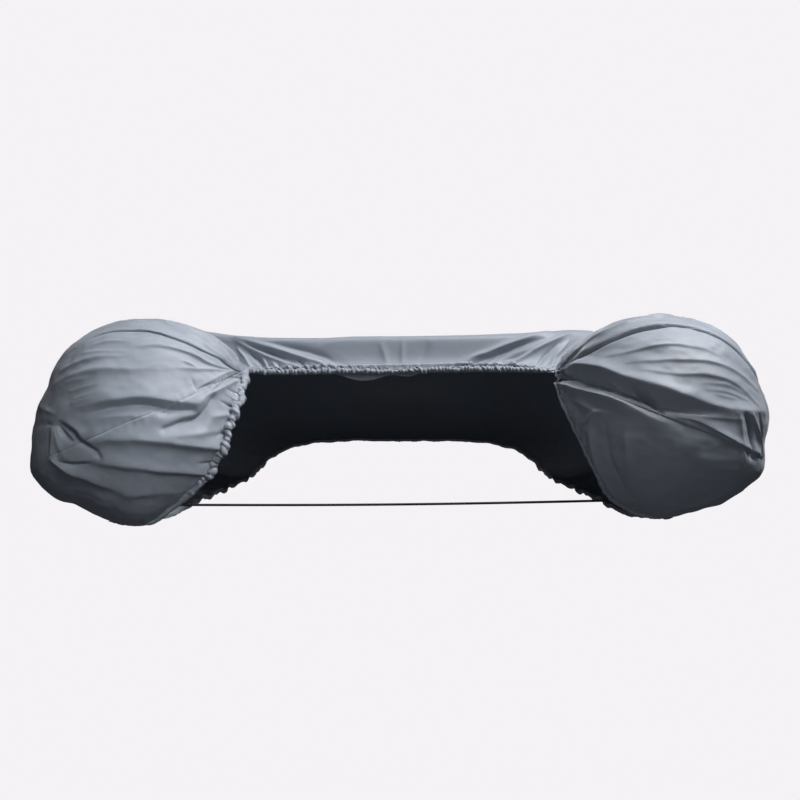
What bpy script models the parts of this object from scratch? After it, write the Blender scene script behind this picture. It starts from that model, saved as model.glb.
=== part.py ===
"""Fitted cover for an inflatable boat, as it lies stretched over the boat, seen best from the stern.

The boat itself is left out, so the cover is a hollow shell of sewn cloth panels:
a deck panel that runs over both tubes and under them, an upper and a lower cap over the end of
each tube, and a thin drawcord between the hems of the two tube ends.

Units are metres. +Y points to the bow and +Z is up. The origin is where the boat holds the cover
up: under the deck cloth, on the centre line, halfway between the bow and the tube ends. Heights in
the tables are above the ground. "left" and "right" are as seen from the stern.
"""
import math

import bmesh
import bpy
import numpy as np

# ---------------------------------------------------------------- driving dimensions (metres)
TUBE_RADIUS = 0.2125         # an inflated tube with the cloth on it
TUBE_AXIS_X = 0.53           # from the boat's centre plane to each tube's axis
TUBE_AXIS_Z = 0.2145         # above the ground that the boat stands on
RIM_AFT = 0.20               # the tube keeps its full radius this far behind the transom
DOME_DEPTH = 0.15            # the cloth rounds the tube's end in this depth
BOW_FORWARD = 2.79           # from the transom to the cloth's bow
BOW_STRAIGHT = 1.70          # the tubes run straight this far forward of the transom
BOW_LIFT = 0.10              # the bow's tubes stand this much higher
BOW_ROUNDNESS = 2.3          # exponent of the bow's rounded plan, 2 is an ellipse
CLOTH = 0.0018               # thickness of the coated cloth
SEAM_GAP = 0.0008            # between two panels along a seam
CORD_DIAMETER = 0.005
CORD_CLEARANCE = 0.0006      # between the cord and the hems that it comes out of
CORD_SAG = 0.0035
CORD_POINTS = 25
CORD_HEM_SHARE = {"left": 0.74, "right": 0.76}  # how far along each tube end's hem it comes out
DECK_UNDERSIDE = 0.4105      # height of the origin above the ground

COVER_LENGTH = BOW_FORWARD + RIM_AFT + DOME_DEPTH
TRANSOM_Y = RIM_AFT + DOME_DEPTH - COVER_LENGTH / 2
RIM_Y = TRANSOM_Y - RIM_AFT
REACH_LENGTH = 0.30          # length along the cloth from a tube end's middle to its rim

SIDES = {"left": -1, "right": 1}

# The rim's outline on each tube end: degrees from the top (positive outboard) and the radius there.
RIM_OUTLINE = (
    # degrees, left, right
    (-150, 0.205, 0.202),
    (-120, 0.212, 0.212),
    (-90, 0.2125, 0.2125),
    (-62, 0.2085, 0.2085),
    (-30, 0.2125, 0.2165),
    (-12, 0.2045, 0.2115),
    (8, 0.2000, 0.2050),
    (30, 0.1995, 0.2110),
    (50, 0.1970, 0.2095),
    (72, 0.1925, 0.2070),
    (90, 0.2055, 0.2155),
    (104, 0.2185, 0.2110),
    (118, 0.2405, 0.2290),
    (130, 0.2360, 0.2215),
    (146, 0.2145, 0.2095),
    (164, 0.2145, 0.1990),
    (182, 0.2185, 0.2045),
)

# The seams on a tube end, as degrees from the top (positive outboard) and the reach along the
# cloth from the end's middle: 1 is the rim, more is on the straight tube forward of the rim.
TRANSOM_CORNER = (-62, 1 + RIM_AFT / REACH_LENGTH)
SEAMS = {
    "left": {
        "over": (TRANSOM_CORNER, (-61, 1.22), (-53, 0.86), (-36, 0.67), (-10, 0.66), (22, 0.68),
                 (47, 0.70), (80, 0.62), (117, 0.50)),
        "across": (TRANSOM_CORNER, (-66, 1.00), (-69, 0.60), (-75, 0.29), (-83, 0.13),
                   (120, 0.27), (117, 0.50)),
        "hem": (TRANSOM_CORNER, (-70, 1.33), (-79, 0.97), (-90, 0.76), (-102, 0.71), (-118, 0.70),
                (-130, 0.72), (-141, 0.75), (-152, 0.79), (-172, 0.88), (-194, 0.93)),
        "under": ((-194, 0.93), (-208, 0.92), (-224, 0.80), (-243, 0.50)),
    },
    "right": {
        "over": (TRANSOM_CORNER, (-61, 1.25), (-52, 0.88), (-38, 0.72), (-13, 0.70), (15, 0.735),
                 (40, 0.71), (64, 0.74), (90, 0.78), (113, 0.72)),
        "across": (TRANSOM_CORNER, (-66, 1.00), (-68, 0.62), (-70, 0.40), (-83, 0.07),
                   (114, 0.22), (113, 0.72)),
        "hem": (TRANSOM_CORNER, (-68, 1.36), (-77, 1.02), (-90, 0.76), (-103, 0.67), (-120, 0.65),
                (-132, 0.70), (-143, 0.80), (-160, 0.88), (-184, 0.92)),
        "under": ((-184, 0.92), (-204, 0.93), (-225, 0.88), (-247, 0.72)),
    },
}

# Main folds of the tube ends. Each runs from its start over its middle to its end, given as
# centimetres outboard of and above the tube's axis; then its width and height (a trough is below 0).
END_FOLDS = {
    "left": (
        # start out, up; middle out, up; end out, up; width; height (all centimetres)
        (-16.5, 8.0, 0.0, 16.4, 13.0, 12.0, 1.3, -0.5),     # the trough beside the seam over the tube
        (-18.6, 9.5, -10.4, 13.1, -1.1, 13.7, 1.4, 0.6),    # roll that runs up from the corner
        (-7.4, 9.5, 3.0, 9.6, 14.3, 6.8, 1.5, 0.6),         # roll below the top folds
        (-13.4, 4.4, -4.5, 5.6, 8.4, 3.0, 2.0, 1.0),        # shadowed fold above the seam across
        (-11.0, 2.6, -4.0, 2.5, 8.0, 0.9, 1.5, -0.7),
        (-16.3, 3.9, -14.2, 0.3, -8.1, -1.9, 1.4, -1.0),    # pocket beside the inner hem
        (-17.2, -5.2, -6.0, -3.5, 4.9, -4.0, 1.8, 1.0),     # long folds of the lower cap
        (-16.5, -7.6, -5.5, -6.3, 4.5, -6.2, 1.6, -0.5),
        (-14.4, -10.7, -6.0, -9.3, 3.2, -6.4, 1.6, 0.7),
        (1.1, -13.9, 6.4, -12.1, 13.6, -8.2, 1.5, 0.6),
        (4.6, -7.2, 8.8, -4.2, 12.8, -1.5, 1.4, -1.1),      # dark tuck at the outer corner
        (14.4, -1.5, 15.0, -7.0, 18.1, -11.9, 1.4, 0.6),    # edge where the cloth turns to the side
    ),
    "right": (
        (-20.7, 9.3, 0.0, 18.3, 20.4, 5.1, 1.3, -0.9),      # the valley below the seam over the tube
        (-12.6, 12.0, -0.5, 14.4, 8.8, 12.3, 1.4, 0.5),
        (-9.4, 10.7, 3.0, 11.4, 17.1, 5.5, 1.4, 0.5),
        (-19.8, 10.4, -3.0, 7.6, 18.5, 1.0, 2.2, 1.2),      # bright roll over the big trough
        (-16.5, 7.4, -2.8, 2.9, 11.3, 0.0, 1.8, -1.5),      # the big trough above the seam
        (-21.0, 7.2, -10.0, 2.2, -1.9, -1.4, 1.4, 1.1),     # rounded roll along the seam across
        (14.2, 0.4, 15.4, -3.0, 16.8, -7.4, 1.4, -1.3),     # dark tuck at the outer corner
        (15.9, 0.0, 17.6, -3.8, 18.4, -7.2, 1.3, 0.7),
        (-16.4, -0.1, -14.5, -9.0, -10.2, -15.7, 1.9, 0.5),  # soft upright fold by the inner hem
        (-0.7, -18.4, 6.6, -16.5, 12.2, -14.1, 1.8, 0.5),   # swell above the ground
    ),
}

# The deck cloth behind its rim, where it comes down to the transom: the share of the rise that is
# reached at each distance forward of the transom.
DECK_RISE = (
    # forward, share
    (0.000, 0.00),
    (0.012, 0.16),
    (0.034, 0.25),
    (0.046, 0.50),
    (0.060, 0.86),
    (0.076, 0.965),
    (0.120, 0.995),
    (0.180, 1.00),
)
HEM_HEIGHT = 0.307           # the elastic hem across the transom
DECK_RIM = (
    # across, from the boat's centre (left is below 0), height of the deck's rim behind the transom
    (-0.46, 0.420),
    (-0.40, 0.408),
    (-0.33, 0.401),
    (0.05, 0.400),
    (0.20, 0.404),
    (0.32, 0.413),
    (0.40, 0.425),
    (0.46, 0.430),
)
DECK_LEVEL = (
    # forward of the transom, height over the boat's centre line
    (0.20, 0.400),
    (0.60, 0.404),
    (1.20, 0.412),
    (1.80, 0.440),
    (2.30, 0.492),
    (2.60, 0.515),
)
# Folds of the deck cloth behind the rim: from the tube's shoulder down to the hem.
DECK_FOLDS = (
    # start across, forward; end across, forward; width; height (centimetres)
    (-38.0, 12.0, -16.0, 2.0, 2.2, 1.1),
    (-30.0, 12.0, -9.0, 3.0, 2.0, 0.9),
    (-37.0, 6.0, -24.0, 2.0, 2.0, -0.9),
    (-22.0, 14.0, -2.0, 8.0, 3.0, 0.6),
    (38.0, 13.0, 16.0, 3.0, 2.2, 1.1),
    (40.0, 9.0, 25.0, 2.0, 2.0, -0.9),
    (43.0, 10.0, 31.0, 2.0, 1.6, 0.8),
    (-6.0, 90.0, 24.0, 60.0, 9.0, -0.9),
    (10.0, 150.0, -26.0, 120.0, 10.0, -0.9),
)

TAKE_OFF_DEGREES = -20       # forward of the transom the deck cloth leaves the tube here
SIDE_HEM_DEGREES = 190       # the side hem lies just inboard of the tube's underside
JOIN_FORWARD = 0.50          # the stern's rows end and the even rows begin here
STERN_ROW_SHARES = (0.0, 0.024, 0.066, 0.082, 0.10, 0.122, 0.152, 0.20, 0.27, 0.37, 0.52, 0.70, 1.0)
MIDDLE_ROWS = 7
BOW_ROWS = 9
FLAT_CELLS = 14              # columns from the centre line to the tube, on each side
ALONG_CELLS = 24             # cells along each cap, and along the seam over the tube
UNDER_CELLS = 6              # of those along the lower cap, the cells of its seam with the deck panel
UPPER_CAP_ROWS = 14
LOWER_CAP_ROWS = 12

CLOTH_GREY = (0.235, 0.262, 0.305, 1)
CORD_BLACK = (0.012, 0.012, 0.014, 1)


# ---------------------------------------------------------------- tables and curves
def hermite(knots, values, at):
    """A smooth curve through the values at the knots, for one or more columns."""
    knots = np.asarray(knots, float)
    values = np.asarray(values, float)
    slopes = np.gradient(values, knots, axis=0)
    cell = np.clip(np.searchsorted(knots, at, side="right") - 1, 0, len(knots) - 2)
    width = knots[cell + 1] - knots[cell]
    t = np.clip((at - knots[cell]) / width, 0, 1)
    if values.ndim > 1:
        t = t[..., None]
        width = width[..., None]
    return ((2 * t**3 - 3 * t**2 + 1) * values[cell] + (t**3 - 2 * t**2 + t) * width * slopes[cell]
            + (3 * t**2 - 2 * t**3) * values[cell + 1] + (t**3 - t**2) * width * slopes[cell + 1])


def read_table(rows, column, at):
    """The column of a table, read smoothly at a value of its first column."""
    rows = np.asarray(rows, float)
    return hermite(rows[:, 0], rows[:, column], np.asarray(at, float))


def smooth_step(share):
    share = np.clip(share, 0, 1)
    return share * share * (3 - 2 * share)


def seam_curve(side, seam, shares):
    """Points of a seam in the laid-out plane of its tube end (outward, up; the rim is at 1)."""
    rows = np.array(SEAMS[side][seam], float)
    angle = np.radians(rows[:, 0])
    plan = np.stack([rows[:, 1] * np.sin(angle), rows[:, 1] * np.cos(angle)], axis=1)
    steps = np.linalg.norm(np.diff(plan, axis=0), axis=1)
    knots = np.concatenate([[0], np.cumsum(steps)])
    return hermite(knots / knots[-1], plan, np.asarray(shares, float))


# ---------------------------------------------------------------- cloth over a tube
def rim_radius(side, degrees):
    """The rim's radius at an angle from the top, where the table repeats every full turn."""
    column = 1 if side == "left" else 2
    rows = [(row[0], row[column]) for row in RIM_OUTLINE]
    rows = [(a - 360, r) for a, r in rows[-2:]] + rows + [(a + 360, r) for a, r in rows[:2]]
    wrapped = (np.asarray(degrees, float) + 150) % 360 - 150
    return read_table(rows, 1, wrapped)


def tube_cloth(side, degrees, reach):
    """The smooth cloth on a tube end: an angle from the top and a reach from the end's middle."""
    angle = np.radians(degrees)
    forward = np.maximum(reach - 1, 0) * REACH_LENGTH
    loose = 1 - smooth_step(forward / 0.25)
    rim = TUBE_RADIUS + (rim_radius(side, degrees) - TUBE_RADIUS) * loose
    turn = np.clip(reach, 0, 1) * math.pi / 2
    radius = rim * np.sin(turn)
    aft = RIM_AFT + DOME_DEPTH * np.cos(turn) - forward
    x = SIDES[side] * (TUBE_AXIS_X + radius * np.sin(angle))
    return np.stack([x, TRANSOM_Y - aft, TUBE_AXIS_Z + radius * np.cos(angle)], axis=-1)


def end_fold_height(side, out, up):
    """How far the folds lift the cloth at a place beside the tube's axis (metres)."""
    height = np.zeros_like(out)
    along = np.linspace(0, 1, 25)
    for row in END_FOLDS[side]:
        start, middle, end = np.array(row[:6]).reshape(3, 2) / 100
        width, lift = row[6] / 100, row[7] / 100
        bow = 2 * middle - (start + end) / 2
        line = (np.outer((1 - along)**2, start) + np.outer(2 * along * (1 - along), bow)
                + np.outer(along**2, end))
        gap = np.hypot(out[..., None] - line[:, 0], up[..., None] - line[:, 1])
        nearest = np.argmin(gap, axis=-1)
        taper = np.sin(math.pi * np.clip(along[nearest], 0.02, 0.98))**0.6
        height += lift * taper * np.exp(-(np.min(gap, axis=-1) / width)**2)
    return height


def draped_end(side, plan):
    """Cloth on a tube end with its folds, for points of the laid-out plane (outward, up)."""
    def smooth(points):
        reach = np.hypot(points[..., 0], points[..., 1])
        return tube_cloth(side, np.degrees(np.arctan2(points[..., 0], points[..., 1])), reach)

    step = 0.004
    base = smooth(plan)
    across = smooth(plan + (step, 0)) - smooth(plan - (step, 0))
    upward = smooth(plan + (0, step)) - smooth(plan - (0, step))
    normal = np.cross(across, upward) * SIDES[side]
    normal /= np.linalg.norm(normal, axis=-1, keepdims=True)
    out = SIDES[side] * base[..., 0] - TUBE_AXIS_X
    up = base[..., 2] - TUBE_AXIS_Z
    aft_of_rim = smooth_step((RIM_Y + 0.06 - base[..., 1]) / 0.08)
    return base + normal * (end_fold_height(side, out, up) * aft_of_rim)[..., None]


def cap_panel(side, first, second, rows):
    """A lens-shaped panel between two seams that meet at the transom's corner and the outer corner."""
    share = np.linspace(0, 1, rows + 1)[None, :, None]
    first = first[:, None, :]
    second = second[:, None, :]
    width = np.linalg.norm(second - first, axis=-1, keepdims=True) * REACH_LENGTH
    inset = np.minimum(SEAM_GAP / 2 / np.maximum(width, SEAM_GAP), 0.5)
    share = inset + share * (1 - 2 * inset)
    plan = first + (second - first) * share
    return draped_end(side, plan)


# ---------------------------------------------------------------- deck panel
def bow_path(turn):
    """Plan of a tube's axis round the bow, from 0 where it leaves the straight to 1 at the tip."""
    reach = BOW_FORWARD - TUBE_RADIUS - BOW_STRAIGHT
    angle = np.clip(turn, 0, 1) * math.pi / 2
    power = 2 / BOW_ROUNDNESS
    x = TUBE_AXIS_X * np.cos(angle)**power
    y = BOW_STRAIGHT + reach * np.sin(angle)**power
    return np.array([x, y])


def lift_at(forward):
    return BOW_LIFT * smooth_step((forward - 1.1) / (BOW_FORWARD - TUBE_RADIUS - 1.1))**1.3


def deck_height(x, forward, edge_x, edge_z, turn=0.0):
    """Height of the deck cloth between the tubes, up to the edge where it lies on the tube."""
    level = read_table(DECK_LEVEL, 1, forward)
    toward_edge = np.abs(x) / max(edge_x, 0.001) if turn < 1 else 1.0
    open_deck = level + (edge_z - level) * toward_edge**3
    rim = read_table(DECK_RIM, 1, x)
    behind = smooth_step((forward - 0.14) / 0.30)
    top = rim + (open_deck - rim) * behind
    rise = read_table(DECK_RISE, 1, forward)
    return HEM_HEIGHT + (top - HEM_HEIGHT) * rise


def deck_fold_height(x, forward):
    height = np.zeros_like(x)
    for row in DECK_FOLDS:
        start, end = np.array(row[:4]).reshape(2, 2) / 100
        width, lift = row[4] / 100, row[5] / 100
        run = end - start
        along = np.clip(((x - start[0]) * run[0] + (forward - start[1]) * run[1]) / run.dot(run), 0, 1)
        gap = np.hypot(x - start[0] - along * run[0], forward - start[1] - along * run[1])
        height += lift * np.exp(-(gap / width)**2) * np.sin(math.pi * (0.08 + 0.84 * along))
    return height


def stern_columns(side):
    """Where each column of the deck panel starts at the stern, from the transom's corner outward."""
    over = seam_curve(side, "over", np.linspace(0, 1, ALONG_CELLS + 1))
    under = seam_curve(side, "under", np.linspace(1, 0, UNDER_CELLS + 1))[1:]
    plan = np.concatenate([over, under])
    reach = np.hypot(plan[:, 0], plan[:, 1])
    degrees = np.unwrap(np.arctan2(plan[:, 0], plan[:, 1])) * 180 / math.pi
    return degrees, reach


def side_ripple(side, degrees, forward):
    """The elastic hem gathers the cloth below the tubes into uneven upright waves."""
    low = smooth_step((degrees - 95) / 80)
    phase = 0.7 if side == "left" else 2.1
    waves = np.sin(forward * 27 + phase) + 0.6 * np.sin(forward * 41 + 2 * phase)
    start = smooth_step((forward - 0.05) / 0.3)
    return 0.0045 * (waves - 1.6) * low * start


def deck_half(side):
    """Rows of points from the stern to the bow, each from the centre line out to the side hem."""
    sign = SIDES[side]
    start_degrees, start_reach = stern_columns(side)
    columns = np.linspace(0, 1, len(start_degrees))
    tube_degrees = TAKE_OFF_DEGREES + (SIDE_HEM_DEGREES - TAKE_OFF_DEGREES) * columns
    join_reach = 1 + (RIM_AFT + JOIN_FORWARD) / REACH_LENGTH
    flat = np.linspace(0, 1, FLAT_CELLS + 1)[:-1]
    rows = []

    for share in STERN_ROW_SHARES:
        swing = smooth_step(share / 0.36)
        degrees = start_degrees + (tube_degrees - start_degrees) * swing
        reach = start_reach + (join_reach - start_reach) * share
        if share == 0:
            reach = reach + SEAM_GAP / 2 / REACH_LENGTH
        angle = np.radians(degrees)
        plan = np.stack([reach * np.sin(angle), reach * np.cos(angle)], axis=1)
        tube = draped_end(side, plan)
        forward = JOIN_FORWARD * share
        lean = (tube[:, 1] - TRANSOM_Y)
        ripple = side_ripple(side, degrees, lean)
        tube[:, 0] += sign * ripple * np.sin(angle)
        tube[:, 2] += ripple * np.cos(angle)
        x = sign * flat * abs(tube[0, 0])
        z = deck_height(x, forward, abs(tube[0, 0]), tube[0, 2])
        edge = deck_height(tube[0, 0], forward, abs(tube[0, 0]), tube[0, 2])
        z = z + (tube[0, 2] - edge) * flat**6 + deck_fold_height(x, np.full_like(x, forward))
        deck = np.stack([x, np.full_like(x, TRANSOM_Y + forward), z], axis=1)
        rows.append(np.concatenate([deck, tube]))

    stations = [(JOIN_FORWARD + (BOW_STRAIGHT - JOIN_FORWARD) * i / MIDDLE_ROWS, 0.0)
                for i in range(1, MIDDLE_ROWS + 1)]
    stations += [(BOW_STRAIGHT, i / BOW_ROWS) for i in range(1, BOW_ROWS + 1)]
    for straight, turn in stations:
        rows.append(forward_row(sign, side, straight, turn, tube_degrees, flat))
    return np.array(rows)


def forward_row(sign, side, straight, turn, tube_degrees, flat):
    """One row of the deck panel forward of the stern, square to the tube's axis."""
    axis = bow_path(turn) if turn > 0 else np.array([TUBE_AXIS_X, straight])
    ahead = bow_path(min(turn + 0.01, 1)) - bow_path(max(turn - 0.01, 0))
    if turn == 0:
        ahead = np.array([0.0, 1.0])
    if turn == 1:
        ahead = np.array([-1.0, 0.0])
    ahead = ahead / np.linalg.norm(ahead)
    outward = np.array([ahead[1], -ahead[0]])
    angle = np.radians(tube_degrees)
    radius = TUBE_RADIUS + side_ripple(side, tube_degrees, straight + turn) * (1 - turn)
    plan = axis[None, :] + outward[None, :] * (radius * np.sin(angle))[:, None]
    lift = lift_at(axis[1])
    tube = np.stack([sign * plan[:, 0], TRANSOM_Y + plan[:, 1],
                     TUBE_AXIS_Z + lift + radius * np.cos(angle)], axis=1)
    inner_y = straight + (0.62 * turn if turn > 0 else 0)
    x = flat * abs(tube[0, 0])
    forward = inner_y + (tube[0, 1] - TRANSOM_Y - inner_y) * flat**1.5
    level = read_table(DECK_LEVEL, 1, forward)
    z = level + (tube[0, 2] - level) * flat**3
    z = z + deck_fold_height(sign * x, forward)
    deck = np.stack([sign * x, TRANSOM_Y + forward, z], axis=1)
    return np.concatenate([deck, tube])


# ---------------------------------------------------------------- objects
def cloth_material():
    material = bpy.data.materials.new("coated_cloth")
    material.use_nodes = True
    shader = material.node_tree.nodes["Principled BSDF"]
    shader.inputs["Base Color"].default_value = CLOTH_GREY
    shader.inputs["Roughness"].default_value = 0.55
    shader.inputs["Metallic"].default_value = 0.0
    return material


def cord_material():
    material = bpy.data.materials.new("black_cord")
    material.use_nodes = True
    shader = material.node_tree.nodes["Principled BSDF"]
    shader.inputs["Base Color"].default_value = CORD_BLACK
    shader.inputs["Roughness"].default_value = 0.7
    shader.inputs["Metallic"].default_value = 0.0
    return material


def cloth_object(name, grids, holder, collection, material):
    """A cloth panel from one or more grids of points, welded where they share an edge."""
    mesh = bmesh.new()
    for grid, flipped in grids:
        verts = [[mesh.verts.new(point) for point in row] for row in grid]
        for i in range(len(verts) - 1):
            for j in range(len(verts[0]) - 1):
                corners = [verts[i][j], verts[i][j + 1], verts[i + 1][j + 1], verts[i + 1][j]]
                mesh.faces.new(corners[::-1] if flipped else corners)
    bmesh.ops.remove_doubles(mesh, verts=mesh.verts, dist=0.00005)
    data = bpy.data.meshes.new(name)
    mesh.to_mesh(data)
    mesh.free()
    data.materials.append(material)
    data.shade_smooth()
    panel = bpy.data.objects.new(name, data)
    panel.parent = holder
    collection.objects.link(panel)
    solid = panel.modifiers.new("cloth thickness", "SOLIDIFY")
    solid.thickness = CLOTH
    solid.offset = -1
    return panel


def build_caps(side, holder, collection, material):
    """The two lens-shaped caps, which share the seam that runs across the tube's end."""
    even = np.linspace(0, 1, ALONG_CELLS + 1)
    over = seam_curve(side, "over", even)
    across = seam_curve(side, "across", even)
    hem = seam_curve(side, "hem", np.linspace(0, 1, ALONG_CELLS - UNDER_CELLS + 1))
    under = seam_curve(side, "under", np.linspace(0, 1, UNDER_CELLS + 1))
    lower_edge = np.concatenate([hem, under[1:]])
    flipped = side == "right"
    upper = cap_panel(side, over, across, UPPER_CAP_ROWS)
    lower = cap_panel(side, across, lower_edge, LOWER_CAP_ROWS)
    cloth_object("cap_upper_" + side, [(upper, flipped)], holder, collection, material)
    cloth_object("cap_lower_" + side, [(lower, flipped)], holder, collection, material)


def cord_end(side):
    """Beside the edge of a tube end's hem, where the drawcord comes out of it."""
    edge_plan = seam_curve(side, "hem", [CORD_HEM_SHARE[side]])
    edge, inside = draped_end(side, np.concatenate([edge_plan, edge_plan * 0.97]))
    outward = (edge - inside) / np.linalg.norm(edge - inside)
    return edge + outward * (CORD_DIAMETER / 2 + CORD_CLEARANCE)


def build_drawcord(holder, collection, material):
    """The taut cord between the two tube ends' hems, hanging a little in the middle."""
    left_end = cord_end("left")
    right_end = cord_end("right")
    curve = bpy.data.curves.new("drawcord", "CURVE")
    curve.dimensions = "3D"
    spline = curve.splines.new("POLY")
    spline.points.add(CORD_POINTS - 1)
    for i in range(CORD_POINTS):
        share = i / (CORD_POINTS - 1)
        point = left_end + (right_end - left_end) * share
        point[2] -= CORD_SAG * math.sin(math.pi * share)
        spline.points[i].co = (*point, 1)
    curve.bevel_depth = CORD_DIAMETER / 2
    curve.bevel_resolution = 2
    curve.use_fill_caps = True
    curve.materials.append(material)
    cord = bpy.data.objects.new("drawcord", curve)
    cord.parent = holder
    collection.objects.link(cord)


def build():
    for old in list(bpy.data.objects):
        bpy.data.objects.remove(old, do_unlink=True)
    collection = bpy.data.collections.new("boat_cover")
    bpy.context.scene.collection.children.link(collection)
    holder = bpy.data.objects.new("ground_below_boat_top", None)
    holder.location = (0, 0, -DECK_UNDERSIDE)
    collection.objects.link(holder)
    cloth = cloth_material()
    grids = [(deck_half(side), side == "left") for side in SIDES]
    cloth_object("deck_panel", grids, holder, collection, cloth)
    for side in SIDES:
        build_caps(side, holder, collection, cloth)
    build_drawcord(holder, collection, cord_material())


build()
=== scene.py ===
"""The looks of a fitted cover for an inflatable boat, seen from the stern.

Thin sheets of coated cloth stand on the solids' shape: a deck panel over both tubes, an upper and a
lower cap on the end of each tube, and a drawcord between the caps' hems. The sheets are worked out
from the same sizes and seams as the solids, on finer grids, with the folds placed one by one.

Units are metres. +Y points to the bow and +Z is up. Heights in the tables are above the ground,
and "left" and "right" are as seen from the stern.
"""
import math

import bmesh
import bpy
import numpy as np
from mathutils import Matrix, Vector

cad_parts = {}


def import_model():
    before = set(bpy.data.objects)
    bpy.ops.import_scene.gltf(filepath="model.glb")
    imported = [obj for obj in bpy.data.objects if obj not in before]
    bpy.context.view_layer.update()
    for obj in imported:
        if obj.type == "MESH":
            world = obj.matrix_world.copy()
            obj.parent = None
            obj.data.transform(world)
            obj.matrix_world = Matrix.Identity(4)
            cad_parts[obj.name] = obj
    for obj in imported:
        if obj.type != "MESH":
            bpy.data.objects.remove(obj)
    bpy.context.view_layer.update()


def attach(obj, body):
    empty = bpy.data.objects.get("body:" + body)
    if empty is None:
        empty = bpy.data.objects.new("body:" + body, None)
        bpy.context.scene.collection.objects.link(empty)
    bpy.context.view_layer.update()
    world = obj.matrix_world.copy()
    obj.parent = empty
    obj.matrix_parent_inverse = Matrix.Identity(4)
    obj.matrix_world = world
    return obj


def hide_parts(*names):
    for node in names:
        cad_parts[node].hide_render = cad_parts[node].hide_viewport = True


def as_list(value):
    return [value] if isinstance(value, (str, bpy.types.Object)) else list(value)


# ---------------------------------------------------------------- sizes that the solids share
TUBE_RADIUS = 0.2125         # an inflated tube with the cloth on it
TUBE_AXIS_X = 0.53           # from the boat's centre plane to each tube's axis
TUBE_AXIS_Z = 0.2145         # above the ground that the boat stands on
RIM_AFT = 0.20               # the tube keeps its full radius this far behind the transom
DOME_DEPTH = 0.15            # the cloth rounds the tube's end in this depth
BOW_FORWARD = 2.79           # from the transom to the cloth's bow
BOW_STRAIGHT = 1.70          # the tubes run straight this far forward of the transom
BOW_LIFT = 0.10              # the bow's tubes stand this much higher
BOW_LIFT_FROM = 1.1          # and begin to lift this far forward of the transom
BOW_ROUNDNESS = 2.3          # exponent of the bow's rounded plan, 2 is an ellipse
CORD_DIAMETER = 0.005
CORD_CLEARANCE = 0.0006      # between the cord and the hems that it comes out of
CORD_SAG = 0.0035
CORD_POINTS = 25
CORD_HEM_SHARE = {"left": 0.74, "right": 0.76}  # how far along each tube end's hem it comes out
DECK_UNDERSIDE = 0.4105      # height of the origin above the ground
COVER_LENGTH = BOW_FORWARD + RIM_AFT + DOME_DEPTH
TRANSOM_Y = RIM_AFT + DOME_DEPTH - COVER_LENGTH / 2
REACH_LENGTH = 0.30          # length along the cloth from a tube end's middle to its rim
TAKE_OFF_DEGREES = -20       # forward of the transom the deck cloth leaves the tube here
SIDE_HEM_DEGREES = 190       # the side hem lies just inboard of the tube's underside
JOIN_FORWARD = 0.50          # the stern's rows end and the even rows begin here
SNUG_FORWARD = 0.25          # from here forward of the rim the cloth is snug on the tube
RIM_FORWARD, RIM_BLEND = 0.14, 0.30  # where the deck's rim starts to give way, and over what length
SIDES = {"left": -1, "right": 1}

# The rim's outline on each tube end: degrees from the top (positive outboard) and the radius there.
RIM_OUTLINE = (
    # degrees, left, right
    (-150, 0.205, 0.202),
    (-120, 0.212, 0.212),
    (-90, 0.2125, 0.2125),
    (-62, 0.2085, 0.2085),
    (-30, 0.2125, 0.2165),
    (-12, 0.2045, 0.2115),
    (8, 0.2000, 0.2050),
    (30, 0.1995, 0.2110),
    (50, 0.1970, 0.2095),
    (72, 0.1925, 0.2070),
    (90, 0.2055, 0.2155),
    (104, 0.2185, 0.2110),
    (118, 0.2405, 0.2290),
    (130, 0.2360, 0.2215),
    (146, 0.2145, 0.2095),
    (164, 0.2145, 0.1990),
    (182, 0.2185, 0.2045),
)

# The seams on a tube end, as degrees from the top (positive outboard) and the reach along the
# cloth from the end's middle: 1 is the rim, more is on the straight tube forward of the rim.
TRANSOM_CORNER = (-62, 1 + RIM_AFT / REACH_LENGTH)
SEAMS = {
    "left": {
        "over": (TRANSOM_CORNER, (-61, 1.22), (-53, 0.86), (-36, 0.67), (-10, 0.66), (22, 0.68),
                 (47, 0.70), (80, 0.62), (117, 0.50)),
        "across": (TRANSOM_CORNER, (-66, 1.00), (-69, 0.60), (-75, 0.29), (-83, 0.13),
                   (120, 0.27), (117, 0.50)),
        "hem": (TRANSOM_CORNER, (-70, 1.33), (-79, 0.97), (-90, 0.76), (-102, 0.71), (-118, 0.70),
                (-130, 0.72), (-141, 0.75), (-152, 0.79), (-172, 0.88), (-194, 0.93)),
        "under": ((-194, 0.93), (-208, 0.92), (-224, 0.80), (-243, 0.50)),
    },
    "right": {
        "over": (TRANSOM_CORNER, (-61, 1.25), (-52, 0.88), (-38, 0.72), (-13, 0.70), (15, 0.735),
                 (40, 0.71), (64, 0.74), (90, 0.78), (113, 0.72)),
        "across": (TRANSOM_CORNER, (-66, 1.00), (-68, 0.62), (-70, 0.40), (-83, 0.07),
                   (114, 0.22), (113, 0.72)),
        "hem": (TRANSOM_CORNER, (-68, 1.36), (-77, 1.02), (-90, 0.76), (-103, 0.67), (-120, 0.65),
                (-132, 0.70), (-143, 0.80), (-160, 0.88), (-184, 0.92)),
        "under": ((-184, 0.92), (-204, 0.93), (-225, 0.88), (-247, 0.72)),
    },
}

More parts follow.
